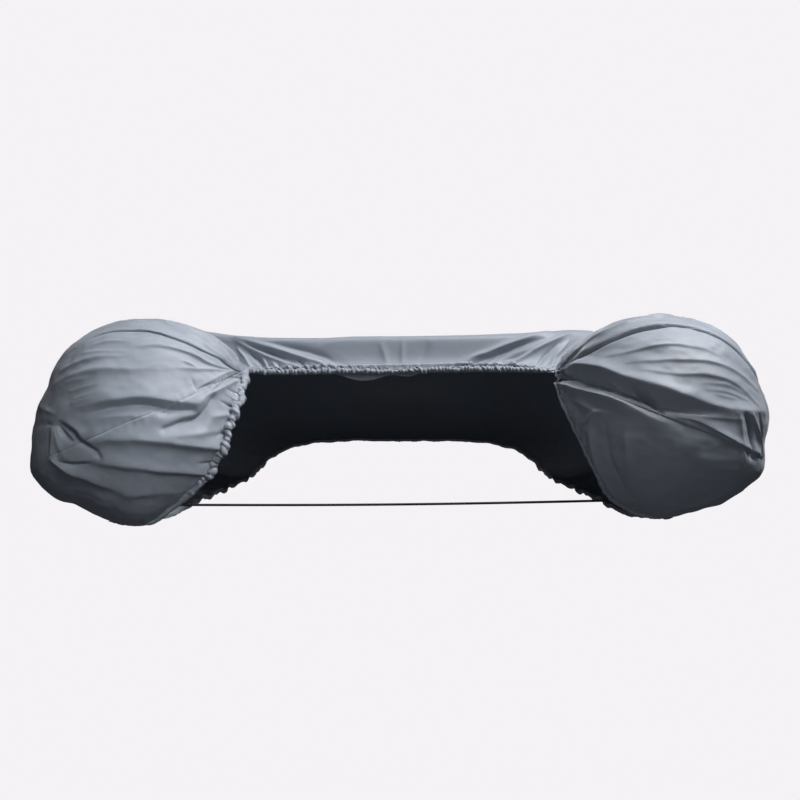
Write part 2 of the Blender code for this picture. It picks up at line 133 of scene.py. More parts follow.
# ---------------------------------------------------------------- folds
# Folds on a tube end. A line is centimetres outboard of and above the tube's axis, seen from the
# stern. Then the fold's width on each side of the line, left and right as one walks along it, and
# its height at the line's start, middle and end, in millimetres. A trough is below 0.
END_FOLDS = {
    "left": (
        # line (out, up), left width, right width, heights
        (((-19.4, 10.4), (-15.3, 13.6), (-9.9, 17.2), (-2.8, 20.2)), 9, 6, (1.5, 3.5, 0.5)),
        (((-20.0, 10.6), (-16.3, 13.9), (-11.8, 17.2)), 3, 4, (-1.5, -3.5, -1.0)),
        (((-20.2, 11.0), (-17.2, 14.9), (-13.2, 18.1), (-8.5, 20.5)), 5, 5, (2.0, 4.5, 1.0)),
        (((-20.8, 11.4), (-18.9, 15.3), (-16.4, 18.6)), 4, 4, (-1.5, -3.5, -0.8)),
        (((-21.3, 11.9), (-20.4, 15.8), (-18.6, 19.2)), 5, 5, (1.5, 3.5, 1.0)),
        (((-18.6, 9.5), (-15.2, 10.7), (-12.6, 12.2), (-7.8, 13.9), (-4.2, 14.1), (-1.1, 13.7)),
         11, 3.5, (1.0, 4.5, 0.4)),
        (((-13.0, 10.2), (-10.9, 11.1)), 4, 2.5, (1.0, 2.5, 0.4)),
        (((-18.4, 9.2), (-12.8, 9.7), (-7.3, 9.7)), 8, 5, (1.5, 2.2, 0.2)),
        (((-0.4, 12.1), (5.2, 11.8), (9.7, 10.7), (13.5, 9.2)), 9, 4.5, (0.4, 2.8, 1.5)),
        (((-7.4, 9.5), (-1.6, 9.4), (3.0, 9.5), (7.4, 9.0), (10.9, 8.2), (14.3, 6.8)),
         11, 8, (0.4, 4.0, 1.5)),
        (((-0.4, 14.9), (3.4, 14.9), (6.7, 14.3)), 6, 4, (0.3, 1.8, 0.7)),
        (((0.2, 13.1), (3.5, 13.0), (8.5, 12.6)), 6, 4, (0.4, 1.8, 0.5)),
        (((6.2, 7.9), (11.9, 6.8)), 5, 4, (0.4, 1.7, 1.0)),
        (((4.7, 6.7), (10.6, 5.2)), 5, 4, (0.4, 1.7, 1.2)),
        (((4.6, 5.1), (9.5, 3.8)), 5, 4, (0.3, 1.5, 1.1)),
        (((6.0, 4.0), (10.0, 2.9)), 4, 4, (0.3, 1.2, 0.9)),
        # the shadowed fold above the seam across
        (((-13.8, 2.9), (-10.2, 3.2), (-5.0, 4.0), (1.7, 3.5), (8.4, 2.3)), 22, 7, (3.0, 6.5, 1.5)),
        (((-13.0, 1.7), (-9.8, 1.6), (-5.0, 2.5), (1.0, 2.2), (8.0, 1.0)), 6, 10, (-4.0, -5.5, -1.5)),
        (((-6.0, 0.3), (0.5, 0.5), (7.0, -0.2)), 9, 9, (0.5, 2.0, 0.8)),
        (((-9.5, 2.0), (-8.4, 1.2), (-6.8, 0.9)), 4, 5, (-0.5, -3.0, -0.5)),
        (((-16.3, 6.9), (-13.6, 5.6)), 5, 4, (-1.0, -3.5, -1.5)),
        (((-12.6, 8.0), (-13.5, 5.7)), 5, 5, (-0.8, -3.0, -1.2)),
        # the rounded roll that the seam across lies on
        (((-20.0, 9.9), (-17.2, 8.3), (-14.3, 6.2), (-12.6, 5.0)), 4, 6, (3.5, 3.5, 0.8)),
        (((-20.2, 8.9), (-18.0, 7.2), (-16.6, 5.6)), 3, 3, (-2.0, -3.0, -1.0)),
        # short folds that the hem's elastic pulls in
        (((-21.0, 5.5), (-19.7, 5.3), (-18.4, 5.8)), 3, 4, (-2.5, -3.0, -0.5)),
        (((-21.0, 3.2), (-19.7, 3.9), (-18.6, 4.8)), 4, 3, (2.5, 2.5, 0.5)),
        (((-20.9, 1.7), (-19.2, 2.6), (-17.8, 3.4)), 3, 4, (-4.0, -4.5, -0.8)),
        (((-20.5, 0.2), (-18.4, 0.6), (-16.0, 0.3)), 6, 7, (2.5, 3.0, 0.5)),
        (((-19.8, -2.4), (-18.2, -2.9), (-16.6, -3.6)), 5, 3, (-4.5, -4.0, -0.5)),
        (((-17.2, -8.8), (-15.2, -8.7), (-13.4, -8.7)), 3, 4, (-3.0, -3.0, -0.5)),
        # the pocket beside the inner hem
        (((-19.9, 8.0), (-16.8, 5.3), (-15.0, 4.2), (-13.8, 2.4)), 6, 8, (1.5, 4.0, 2.0)),
        (((-16.3, 3.9), (-15.6, 2.2), (-14.2, 0.3), (-11.1, -0.7), (-8.1, -1.9)),
         4.5, 12, (-4.5, -11.0, -4.0)),
        (((-16.9, -2.4), (-12.4, -3.0), (-7.6, -3.3)), 8, 8, (1.5, 4.0, 1.5)),
        # the long folds of the lower cap
        (((-18.8, -6.0), (-13.5, -5.3), (-7.6, -4.4), (-0.6, -4.1), (4.9, -4.4)),
         20, 8, (6.0, 8.5, 2.5)),
        (((-16.4, -10.8), (-11.4, -10.4), (-6.4, -9.9), (0.0, -9.1), (6.0, -8.5), (11.0, -7.8)),
         17, 6, (4.0, 5.5, 1.5)),
        (((1.1, -13.9), (6.1, -12.3), (10.7, -10.2), (13.6, -8.2)), 15, 6, (0.8, 3.8, 3.0)),
        (((-10.0, -14.4), (-3.0, -14.8), (3.5, -13.9)), 14, 10, (1.0, 2.2, 0.5)),
        # tucks at the outer corner
        (((4.4, -7.4), (6.6, -5.1), (9.0, -3.6), (11.2, -1.7), (12.6, -0.9)),
         3.5, 7, (-2.5, -7.0, -3.0)),
        (((5.6, -5.2), (8.4, -2.6), (11.0, -0.9)), 9, 3, (0.5, 2.5, 1.0)),
        (((10.2, -4.4), (11.8, -3.2), (13.2, -1.4)), 6, 6, (-3.0, -6.5, -2.0)),
        (((9.2, -4.1), (11.4, -2.5)), 2.5, 2.5, (0.5, 2.5, 0.5)),
        (((11.4, -6.8), (12.9, -4.8), (13.9, -2.2)), 7, 7, (0.5, 1.8, 1.0)),
        (((8.2, -12.3), (11.6, -9.8), (13.8, -8.1)), 8, 5, (0.5, 3.5, 2.0)),
        (((4.8, -8.5), (8.4, -8.7), (10.6, -8.8), (12.4, -8.3)), 4, 6, (-1.0, -4.0, -1.5)),
        (((14.4, -1.5), (14.7, -8.4), (18.1, -11.9)), 4, 9, (1.5, 3.0, 1.0)),
        (((14.0, 1.0), (18.6, 2.4)), 6, 5, (1.0, 3.0, 1.5)),
        (((13.0, -1.5), (16.5, -1.1), (19.5, -1.6)), 6, 4, (-1.0, -3.0, -1.5)),
    ),
    "right": (
        # the valley below the seam over the tube, and the ridge above it
        (((-20.7, 9.5), (-17.8, 11.3), (-14.7, 13.7), (-10.3, 16.0), (-5.7, 17.6), (-1.4, 18.4),
          (2.6, 18.5), (5.8, 17.8), (9.5, 16.3), (12.4, 14.4), (15.4, 11.7), (18.0, 8.2),
          (20.4, 5.1)), 3.5, 6, (-3.5, -9.0, -3.5)),
        (((-15.4, 15.4), (-10.6, 17.9), (-5.9, 19.5), (-1.4, 20.3), (3.0, 20.3), (6.4, 19.6),
          (10.3, 17.9), (13.4, 15.8), (16.5, 12.9)), 9, 6, (1.0, 4.0, 1.5)),
        (((-20.5, 10.3), (-16.4, 14.4), (-12.5, 17.1)), 5, 5, (1.5, 3.0, 0.5)),
        (((-12.6, 12.0), (-8.3, 13.0), (-3.8, 13.9), (0.9, 14.2), (5.5, 13.5), (8.8, 12.3)),
         10, 3.5, (0.5, 2.4, 0.5)),
        (((-4.8, 14.8), (-2.0, 15.2), (1.0, 15.1)), 6, 4, (0.4, 2.0, 0.4)),
        (((-9.4, 10.7), (-4.1, 11.1), (0.5, 11.3), (5.1, 11.1), (9.5, 10.2), (13.1, 8.7),
          (17.1, 5.5)), 10, 3.5, (0.5, 2.6, 1.0)),
        (((-6.9, 9.3), (-1.6, 8.7), (3.0, 8.5), (6.8, 8.2), (10.8, 7.1), (13.9, 5.4), (16.6, 2.6)),
         10, 3.5, (0.5, 2.4, 1.2)),
        (((5.2, 6.8), (10.7, 6.2), (13.9, 4.9)), 5, 3, (0.4, 1.3, 0.6)),
        (((5.6, 5.6), (10.6, 4.9), (14.3, 3.6)), 5, 3, (0.4, 1.3, 0.6)),
        (((6.8, 4.8), (11.6, 3.8)), 4, 3, (0.3, 1.0, 0.5)),
        # the bright roll and the big trough below it
        (((-19.8, 9.9), (-16.3, 10.3), (-12.8, 9.4), (-9.8, 8.0), (-6.1, 6.8), (0.1, 4.8),
          (5.5, 2.9), (10.4, 1.8), (18.5, 1.3)), 15, 15, (3.0, 9.0, 3.0)),
        (((-16.5, 7.0), (-12.0, 5.9), (-8.4, 4.4), (-2.8, 2.3), (2.6, 1.0), (7.4, 0.3),
          (11.3, 0.0)), 16, 7, (-4.5, -6.5, -1.5)),
        (((-21.0, 8.6), (-17.4, 7.4), (-12.6, 5.6)), 8, 5, (-2.0, -6.0, -2.0)),
        (((-12.5, 7.2), (-10.2, 5.0)), 5, 5, (1.0, 3.5, 1.0)),
        (((-8.8, 6.3), (-6.4, 3.9), (-3.2, 1.3)), 6, 3.5, (-2.0, -8.0, -4.0)),
        (((-5.8, 5.2), (-3.6, 2.8)), 5, 5, (0.8, 2.5, 0.8)),
        (((-0.1, 1.0), (4.5, 0.5), (12.5, -0.2)), 9, 5, (1.0, 3.5, 1.5)),
        # the rounded roll along the seam across, and the crisp edge further out
        (((-21.3, 7.2), (-19.3, 6.4), (-17.0, 5.4), (-14.6, 4.7), (-12.3, 4.0), (-9.9, 2.9),
          (-7.2, 1.4), (-4.4, -0.1), (-2.0, -0.9)), 6, 15, (3.5, 7.5, 1.5)),
        (((0.3, 0.3), (3.6, -0.4), (7.4, -2.3), (12.6, -5.0), (17.3, -6.9)), 11, 3, (1.0, 3.5, 2.0)),
        # tucks at the outer corner
        (((12.0, 0.8), (12.8, -2.4), (13.3, -5.2)), 8, 5, (1.0, 3.5, 1.0)),
        (((13.6, 0.6), (14.9, -0.9), (15.5, -3.8), (15.8, -6.6)), 4, 8, (-3.0, -9.0, -5.0)),
        (((15.2, 0.6), (16.6, -1.6), (17.7, -4.4), (18.4, -7.2)), 4, 4, (2.0, 4.5, 2.5)),
        (((16.8, 0.8), (18.2, -2.3), (19.0, -5.0)), 3, 3, (-1.0, -3.0, -1.0)),
        (((13.3, -5.6), (13.7, -7.4), (13.4, -9.9)), 3, 5, (1.0, 3.0, 0.5)),
        (((14.2, -6.8), (16.8, -8.4)), 8, 5, (-1.0, -3.0, -1.0)),
        # soft folds of the lower cap
        (((-16.4, -0.1), (-14.5, -9.0), (-10.2, -15.7)), 9, 10, (1.2, 6.0, 2.0)),
        (((-13.4, -1.5), (-12.2, -8.0), (-8.8, -14.2)), 7, 8, (-1.0, -4.0, -1.0)),
        (((-17.4, 4.9), (-13.2, 3.0), (-9.4, 0.2)), 8, 8, (-0.8, -3.0, -0.8)),
        (((-18.8, 3.6), (-14.0, 0.8)), 9, 9, (1.0, 3.2, 1.0)),
        (((-18.4, -2.5), (-16.0, 0.3)), 5, 5, (-0.5, -3.4, -0.5)),
        (((-17.0, -0.5), (-14.4, 1.4), (-12.6, 1.2)), 5, 7, (0.8, 3.0, 0.6)),
        (((-9.8, -2.0), (-9.4, -7.0), (-8.4, -12.0)), 13, 9, (0.8, 3.6, 0.8)),
        (((-0.7, -18.6), (6.6, -16.7), (12.2, -14.3)), 18, 7, (1.0, 4.0, 1.5)),
    ),
}

# Folds of the deck cloth where it comes down to the transom hem, seen from the stern: centimetres
# across (left is below 0) and above the ground.
RISE_FOLDS = (
    # line (across, height), left width, right width, heights
    (((-37.5, 39.6), (-28.4, 37.0), (-21.3, 34.7), (-14.3, 32.6)), 4, 7, (2.0, 6.0, 2.0)),
    (((-32.4, 39.2), (-25.3, 37.3), (-18.9, 35.6), (-13.1, 33.4)), 9, 5, (-1.0, -4.0, -1.0)),
    (((-36.5, 38.4), (-31.9, 36.1), (-27.5, 34.2), (-23.6, 32.9)), 4, 5, (1.5, 5.0, 2.0)),
    (((-34.4, 38.0), (-29.1, 36.2), (-23.9, 34.3)), 4, 4, (-2.0, -6.0, -2.0)),
    (((-23.6, 34.9), (-22.0, 33.6), (-20.9, 32.5)), 3, 3, (-1.0, -4.0, -1.5)),
    (((-36.7, 37.0), (-34.6, 34.4), (-33.2, 32.2)), 4, 4, (1.5, 4.0, 2.0)),
    (((-35.2, 37.0), (-32.4, 35.0), (-31.0, 33.6), (-30.4, 32.2)), 4, 3, (-1.5, -5.0, -2.0)),
    (((-36.7, 35.6), (-35.0, 32.7)), 3, 3, (-0.8, -3.0, -1.0)),
    (((-31.0, 34.9), (-29.5, 32.8)), 3, 3, (0.8, 3.0, 1.5)),
    (((-29.9, 34.0), (-28.8, 32.2)), 2.5, 2.5, (-0.8, -3.0, -1.5)),
    (((-28.5, 33.8), (-27.5, 32.2)), 3, 3, (0.5, 2.5, 1.5)),
    (((-27.3, 33.4), (-26.5, 32.2)), 2.5, 2.5, (-0.5, -2.5, -1.5)),
    (((12.9, 32.9), (16.7, 34.7), (23.8, 37.7), (33.8, 41.0)), 6, 5, (1.5, 6.0, 1.5)),
    (((14.8, 32.9), (19.0, 34.5), (26.5, 37.4), (32.0, 39.3)), 4, 7, (-1.0, -4.5, -1.0)),
    (((21.3, 32.0), (26.0, 34.1), (31.3, 37.3), (39.3, 41.0)), 5, 6, (1.5, 6.0, 1.5)),
    (((22.8, 33.7), (29.3, 36.3)), 4, 4, (-1.0, -4.0, -1.0)),
    (((14.2, 34.2), (17.5, 35.3), (21.1, 35.6)), 6, 3, (0.5, 2.6, 0.5)),
    (((30.0, 32.2), (32.0, 34.7), (36.2, 38.6)), 4, 5, (-0.8, -4.0, -1.0)),
    (((33.4, 32.0), (34.7, 34.7), (38.2, 38.6)), 6, 6, (1.5, 5.0, 1.5)),
    (((-4.6, 38.8), (-2.6, 32.8)), 10, 8, (0.5, 1.6, 0.8)),
    (((0.5, 38.8), (0.5, 32.8)), 6, 6, (0.3, 1.3, 0.5)),
    (((6.8, 38.6), (4.2, 33.4)), 9, 9, (0.4, -1.6, -0.6)),
    (((-22.5, 34.6), (-16.0, 38.2), (0.5, 39.6)), 8, 14, (0.4, 1.8, 0.3)),
)

# The deck cloth from its hem up to the deck: forward of the transom, and the share of the rise.
DECK_RISE = (
    # forward, share
    (0.000, 0.00),
    (0.0015, 0.08),
    (0.003, 0.15),
    (0.016, 0.18),
    (0.034, 0.25),
    (0.042, 0.44),
    (0.049, 0.82),
    (0.060, 0.95),
    (0.082, 0.985),
    (0.120, 0.998),
    (0.180, 1.00),
    (0.500, 1.00),
)
NOMINAL_RISE = 0.095         # the rise with which the cloth's length from the hem is worked out
HEM_LINE = (
    # across, height of the transom hem's lower edge
    (-0.346, 0.3045),
    (-0.190, 0.3105),
    (0.000, 0.3125),
    (0.090, 0.3150),
    (0.230, 0.3150),
    (0.300, 0.3110),
    (0.346, 0.3065),
)
DECK_RIM = (
    # across, height of the deck's rim behind the transom
    (-0.46, 0.420),
    (-0.40, 0.408),
    (-0.33, 0.401),
    (0.05, 0.400),
    (0.20, 0.404),
    (0.32, 0.413),
    (0.40, 0.425),
    (0.46, 0.430),
)
DECK_LEVEL = (
    # forward of the transom, height over the boat's centre line
    (0.20, 0.400),
    (0.60, 0.404),
    (1.20, 0.412),
    (1.80, 0.440),
    (2.30, 0.492),
    (2.60, 0.515),
)
# Broad folds of the deck cloth, in plan.
DECK_FOLDS = (
    # line (across, forward of the transom) in centimetres, left width, right width, heights
    (((-44.0, 16.0), (-20.0, 34.0), (6.0, 40.0)), 30, 22, (2.0, 5.0, 1.0)),
    (((44.0, 18.0), (24.0, 40.0), (-4.0, 52.0)), 24, 32, (2.0, 5.0, 1.0)),
    (((-45.0, 60.0), (-6.0, 90.0), (24.0, 60.0)), 60, 70, (1.0, -7.0, 0.0)),
    (((42.0, 110.0), (10.0, 150.0), (-26.0, 120.0)), 70, 80, (1.0, -7.0, 0.0)),
    (((-40.0, 175.0), (-12.0, 205.0), (2.0, 240.0)), 50, 50, (2.0, 4.0, 1.0)),
    (((40.0, 170.0), (16.0, 200.0), (4.0, 235.0)), 45, 55, (2.0, 4.0, 1.0)),
)

# How full the gathered roll is along each tube end's hem, from the transom's corner, how far
# inside the cloth's edge its middle lies, in radii, and how much of its radius a crease takes.
HEM_ROLLS = {
    "left": (
        # share of the hem, fullness, inside, crease
        (0.00, 0.90, 0.30, 0.45),
        (0.10, 1.15, 0.40, 0.50),
        (0.22, 1.20, 0.50, 0.50),
        (0.30, 1.10, 0.45, 0.45),
        (0.42, 1.15, 0.35, 0.45),
        (0.55, 1.15, 0.35, 0.45),
        (0.66, 0.95, 0.70, 0.35),
        (0.80, 0.75, 1.10, 0.16),
        (1.00, 0.60, 1.20, 0.14),
    ),
    "right": (
        (0.00, 0.85, 0.60, 0.40),
        (0.08, 0.55, 0.60, 0.35),
        (0.30, 0.42, 0.60, 0.30),
        (0.55, 0.45, 0.60, 0.30),
        (0.70, 0.70, 0.70, 0.30),
        (0.85, 0.70, 0.90, 0.25),
        (1.00, 0.55, 0.90, 0.20),
    ),
}

TRANSOM_ROLL = (
    # share of the hem from the left corner to the right one, fullness
    (0.00, 0.70),
    (0.12, 0.88),
    (0.30, 0.82),
    (0.50, 0.74),
    (0.70, 0.82),
    (0.88, 0.88),
    (1.00, 0.70),
)

CASING = 0.015               # width of the hem's casing, which holds the elastic
CASING_THICK = 0.0045
# The inner layer of the transom hem's casing hangs out below it in two lobes.
CASING_LOBES = (
    # across, half width, drop, exponent of its outline
    (-0.080, 0.060, 0.02352, 2.2),
    (0.020, 0.032, 0.0147, 2),
)
PLEAT = 0.0136               # average pitch of the gathers of a tube end's hem
TRANSOM_PLEAT = 0.0092       # and of the hem across the transom
# How far a seam's two edges stand above and below the cloth. The raised side is 1 where it lies
# to the left as one walks from the transom's corner outward, seen from the stern, and -1 where it
# lies to the right. The strength runs from the corner outward, too.
SEAM_STEPS = {
    "left": (
        # seam, raised, sunk, raised side, strength at its start, at its end
        ("over", 0.0020, -0.0030, -1, 1.0, 0.0),
        ("across", 0.0008, -0.0014, 1, 1.0, 1.0),
    ),
    "right": (
        ("over", 0.0020, -0.0030, -1, 1.0, 0.0),
        ("across", 0.0008, -0.0014, 1, 0.1, 1.0),
    ),
}
SEAM_WIDTH = 0.0022          # half width of the groove along a seam
FOLD_POWER = 1.5             # below 2 the crest of a fold is sharper than a bell curve's
FOLD_GAIN = 1.45             # the sheets' folds stand this much higher than in the tables
FOLD_SAMPLES = 25
HILLS = 61                   # random hills repeat after this many

# Wrinkles finer than the folds, as soft random hills: height, width and length.
END_WRINKLES = ((0.0014, 0.045, 0.028), (0.0006, 0.016, 0.012))
DECK_WRINKLES = ((0.0016, 0.17, 0.23), (0.0005, 0.05, 0.07))
FAN_HEIGHT = 0.0034          # sharp creases that fan out from the transom's corner
FAN_ANGLE = 0.10             # from one crease to the next, in radians
FAN_SHARPNESS = 0.22         # a crease stands where its random hills are this close to 0
FAN_START, FAN_REACH = 0.012, 0.36  # distances from the corner at which they begin and end
FAN_GROWTH = 0.05            # and in which they grow
FAN_NEAR, FAN_CHANGE = 0.02, 0.45  # a crease changes with the logarithm of the distance
PULL_HEIGHT = 0.0014         # soft pulls toward the corner, over the whole tube end
PULL_ANGLE, PULL_LENGTH = 0.055, 0.11
PULL_GROWTH = 0.12           # distance from the corner in which they grow
CORNER_STILL = 0.03          # folds fade out this close to the corner
SEAM_REACH = 0.008           # the cloth beside a seam rises or sinks over this width
SEAM_GROOVE = 0.0010
SEAM_CHANGE_FROM, SEAM_CHANGE = 0.42, 0.3  # share of a seam where its strength changes, and over what
SEAM_PUCKER, PUCKER_REACH = 0.0003, 0.010
PUCKERS = 230                # radians of puckers along a whole seam
PUCKER_SWAY, SWAY_STRETCHES = 4, 17  # how unevenly they come, in radians, and in how many stretches

# Upright waves of the cloth below the tubes, which the side hem gathers, and finer folds above the
# hem. Both start at an angle from the top, in degrees, and grow over another.
RIPPLE_HEIGHT, RIPPLE_FROM, RIPPLE_GROWTH = 0.0030, 95, 80
RIPPLE_WAVES = (27, 41)      # radians to a metre of the hem
SECOND_WAVE = 0.6            # height of the second waves, as a share of the first
SIDE_FOLD, SIDE_SINK, SIDE_WRINKLE = 0.0030, 0.0016, 0.0010
SIDE_FOLD_FROM, SIDE_FOLD_GROWTH = 118, 65

# The lobes of a gathered hem: their least size, how much larger they can be, how square they are,
# and how unevenly they come, in pleats, and in what stretches.
LOBE_LEAST, LOBE_RANGE, LOBE_SQUARENESS = 0.55, 0.9, 4.5
LOBE_SWAY, LOBE_STRETCH = 0.75, 0.024

# Folds that a gathered hem sends into the cloth, besides the puffs next to its casing.
PUFF_HEIGHT, PUFF_REACH = 0.0030, 0.007
GATHERS = (
    # height, pitch in pleats, unevenness, length of the uneven stretches, reach, its own seed
    (0.0013, 1.15, 0.8, 0.03, 0.018, 2),
    (0.0024, 2.3, 0.7, 0.05, 0.030, 4),
)
CASING_GROOVE, GROOVE_WIDTH = 0.0028, 0.0025
SEWN_ABOVE = 0.0035          # from the transom hem's casing up to its row of stitches

FLAT_CELLS = 180             # fine columns from the centre line to the tube, on each side
TUBE_CELLS = 180             # fine columns round each tube
UNDER_CELLS = 42             # of those, the columns along the seam under the tube's end
THINNING = 3                 # fine columns to each coarse one
FINE_ROWS = 54               # from the stern's edge on, close together
FINE_SHARE = 0.255           # share of the way to the join that they take
TURN_SHARE = 0.36            # share of it in which the columns turn to even angles
MIDDLE_ROWS = 62             # from there to the join
STRAIGHT_ROWS = 90
BOW_ROWS = 72
CAP_CELLS = 540              # along each cap
CAP_UNDER_CELLS = 110
CAP_ROWS = 128

# Edges that are turned in: further on from the edge, and depth under the cloth.
SIDE_TURN = ((0.0016, 0.0015), (0.0016, 0.0040), (-0.0120, 0.0052))
UPPER_CAP_TURN = ((0.0004, 0.0008), (-0.0010, 0.0022), (-0.0050, 0.0024))
LOWER_CAP_TURN = ((0.0008, 0.0016), (0.0004, 0.0040), (-0.0120, 0.0055))
CAP_TUCK = 0.003             # a cap's upper edge goes on this far under its neighbour

ROLL_CELLS = 15              # round a hem's roll
ROLL_RADIUS = 0.0074
ROLL_ANGLES = (168, -165)    # degrees round the roll at which it meets the cloth
ROLL_SWAY, SWAY_LENGTH = 0.18, 0.016  # how far it wanders in and out, in radii, and in what length
ROLL_LIFT, LIFT_LENGTH = 0.15, 0.022  # and up and down
ROLL_CRUMPLE, CRUMPLE_LENGTH = 0.65, 0.0050
ROLL_END, END_LENGTH = 0.25, 0.03  # share of its radius at its ends, and the length that it grows in

STITCH_PITCH = 0.0042
STITCH_LENGTH = 0.0031
STITCH_RADIUS = 0.00042
STITCH_INSET = 0.0050        # from a seam to the row of stitches that holds its lap down
WEAVE_PITCH = 0.0009         # from one yarn of the cloth to the next

BACKGROUND = (0.913, 0.888, 0.913)
CLOTH_GREY = (0.235, 0.262, 0.305)
CORD_DARK, CORD_LIGHT = (0.008, 0.008, 0.010), (0.018, 0.018, 0.021)
ROOM_LOW, ROOM_HIGH = (0.76, 0.79, 0.92), (0.92, 0.94, 1.0)
ROOM_STRENGTH = 0.058
FLOOR_GAP = 0.0045           # the floor lies this far below the ground in the tables

STERN = (0, -1.25, -0.15)
LIGHTS = (
    # name, place, aimed at, width and height, watts, colour, spread in degrees
    ("key_softbox", (1.68, -1.97, 2.47), STERN, (1.2, 1.2), 138, (1, 0.99, 0.985), 180),
    ("side_softbox", (1.81, -0.93, 2.47), STERN, (1.2, 1.2), 7, (0.97, 0.98, 1), 180),
    ("top_softbox", (0, -1.2, 3.05), STERN, (1.3, 1.2), 32, (0.98, 0.99, 1), 180),
    ("back_softbox", (0, 1.65, 1.2), STERN, (1.2, 1.2), 8, (0.97, 0.98, 1), 180),
    ("left_fill", (0.16, -2.76, 0.62), (-0.56, -1.5, -0.18), (0.6, 0.4), 1.0, (1, 1, 1), 42),
    ("right_fill", (0.53, -3.2, -0.05), (0.53, -1.5, -0.2), (0.5, 0.5), 0.15, (1, 1, 1), 50),
    ("floor_bounce", (-0.1, -2.3, -0.40), (-0.1, -1.55, 0.1), (1.0, 0.6), 0.9, (1, 1, 1), 180),
    ("inside", (0, 0.2, -0.05), (0, 0.9, -0.4), (0.7, 1.6), 1.0, (0.95, 0.97, 1), 180),
)

CAMERA_AFT = 2.6             # behind the transom hem
CAMERA_HEIGHT = 0.227
SENSOR_WIDTH = 36
FRAME_PIXELS = 800
FOCAL_PIXELS = 1183
HORIZON_PIXELS = 12          # below the photo's middle


# ---------------------------------------------------------------- tables and curves
def hermite(knots, values, at):
    """A smooth curve through the values at the knots, for one or more columns."""
    knots = np.asarray(knots, float)
    values = np.asarray(values, float)
    at = np.asarray(at, float)
    slopes = np.gradient(values, knots, axis=0)
    cell = np.clip(np.searchsorted(knots, at, side="right") - 1, 0, len(knots) - 2)
    width = knots[cell + 1] - knots[cell]
    t = np.clip((at - knots[cell]) / width, 0, 1)
    if values.ndim > 1:
        t = t[..., None]
        width = width[..., None]
    return ((2 * t**3 - 3 * t**2 + 1) * values[cell] + (t**3 - 2 * t**2 + t) * width * slopes[cell]
            + (3 * t**2 - 2 * t**3) * values[cell + 1] + (t**3 - t**2) * width * slopes[cell + 1])


def read_table(rows, column, at):
    """The column of a table, read smoothly at a value of its first column."""
    rows = np.asarray(rows, float)
    return hermite(rows[:, 0], rows[:, column], at)


def smooth_step(share):
    share = np.clip(share, 0, 1)
    return share * share * (3 - 2 * share)


def unit(rows, least=1e-9):
    """The rows at length 1, where those shorter than least are left short."""
    return rows / np.maximum(np.linalg.norm(rows, axis=-1, keepdims=True), least)


def distance_along(line):
    """Distance along a line to each of its points."""
    return np.concatenate([[0], np.cumsum(np.linalg.norm(np.diff(line, axis=0), axis=1))])


def smooth_line(points, shares):
    """Places at these shares of the length of a smooth line through the points."""
    points = np.asarray(points, float)
    knots = distance_along(points)
    return hermite(knots / knots[-1], points, shares)


def soft_noise(seed, u, v):
    """Smooth random hills from -1 to 1, about one to each unit of u and v."""
    hills = np.random.default_rng(seed).uniform(-1, 1, (HILLS, HILLS))
    low_u, low_v = np.floor(u).astype(int), np.floor(v).astype(int)
    share_u, share_v = smooth_step(u - low_u), smooth_step(v - low_v)

    def corner(a, b):
        return hills[(low_u + a) % HILLS, (low_v + b) % HILLS]

    near = corner(0, 0) * (1 - share_u) + corner(1, 0) * share_u
    far = corner(0, 1) * (1 - share_u) + corner(1, 1) * share_u
    return near * (1 - share_v) + far * share_v


def line_distance(places, line):
    """Distance of places to a line, its share of the line's length, and the side: 1 is left."""
    start, run = line[:-1], np.diff(line, axis=0)
    length = np.linalg.norm(run, axis=1)
    offset = places[:, None, :] - start
    share = np.clip((offset * run).sum(-1) / length**2, 0, 1)
    gap = np.linalg.norm(offset - share[..., None] * run, axis=-1)
    nearest = gap.argmin(axis=1)
    pick = (np.arange(len(places)), nearest)
    offset = offset[pick]
    run = run[nearest]
    across = (run[:, 0] * offset[:, 1] - run[:, 1] * offset[:, 0]) / length[nearest]
    travelled = distance_along(line)
    along = (travelled[nearest] + share[pick] * length[nearest]) / travelled[-1]
    gap = gap[pick]
    return gap, along, across / np.maximum(gap, 1e-6)


def fold_lift(places, folds):
    """How far the folds lift the cloth at these places (metres)."""
    lift = np.zeros(len(places))
    for line, left, right, heights in folds:
        reach = 3 * max(left, right)
        near = np.all((places > line.min(0) - reach) & (places < line.max(0) + reach), axis=1)
        if not near.any():
            continue
        gap, along, side = line_distance(places[near], line)
        width = (left + right) / 2 + (left - right) / 2 * side
        height = hermite([0, 0.5, 1], heights, along)
        lift[near] += FOLD_GAIN * height * np.exp(-(gap / width)**FOLD_POWER)
    return lift


def read_folds(rows, place=None):
    """A fold table in metres, its lines smooth and moved by place()."""
    folds = []
    for line, left, right, heights in rows:
        points = np.array(line) / 100
        if place:
            points = np.array([place(*point) for point in points])
        line = smooth_line(points, np.linspace(0, 1, FOLD_SAMPLES))
        folds.append((line, left / 1000, right / 1000, np.array(heights) / 1000))
    return folds


# ---------------------------------------------------------------- cloth over a tube
def plan_place(degrees, reach):
    """Places of a tube end's laid-out plane, from angles from the top and reaches."""
    angle = np.radians(degrees)
    return np.stack([reach * np.sin(angle), reach * np.cos(angle)], axis=-1)


def rim_radius(side, degrees):
    """The rim's radius at an angle from the top, where the table repeats every full turn."""
    column = 1 if side == "left" else 2
    rows = [(row[0], row[column]) for row in RIM_OUTLINE]
    rows = [(a - 360, r) for a, r in rows[-2:]] + rows + [(a + 360, r) for a, r in rows[:2]]
    wrapped = (np.asarray(degrees, float) + 150) % 360 - 150
    return read_table(rows, 1, wrapped)


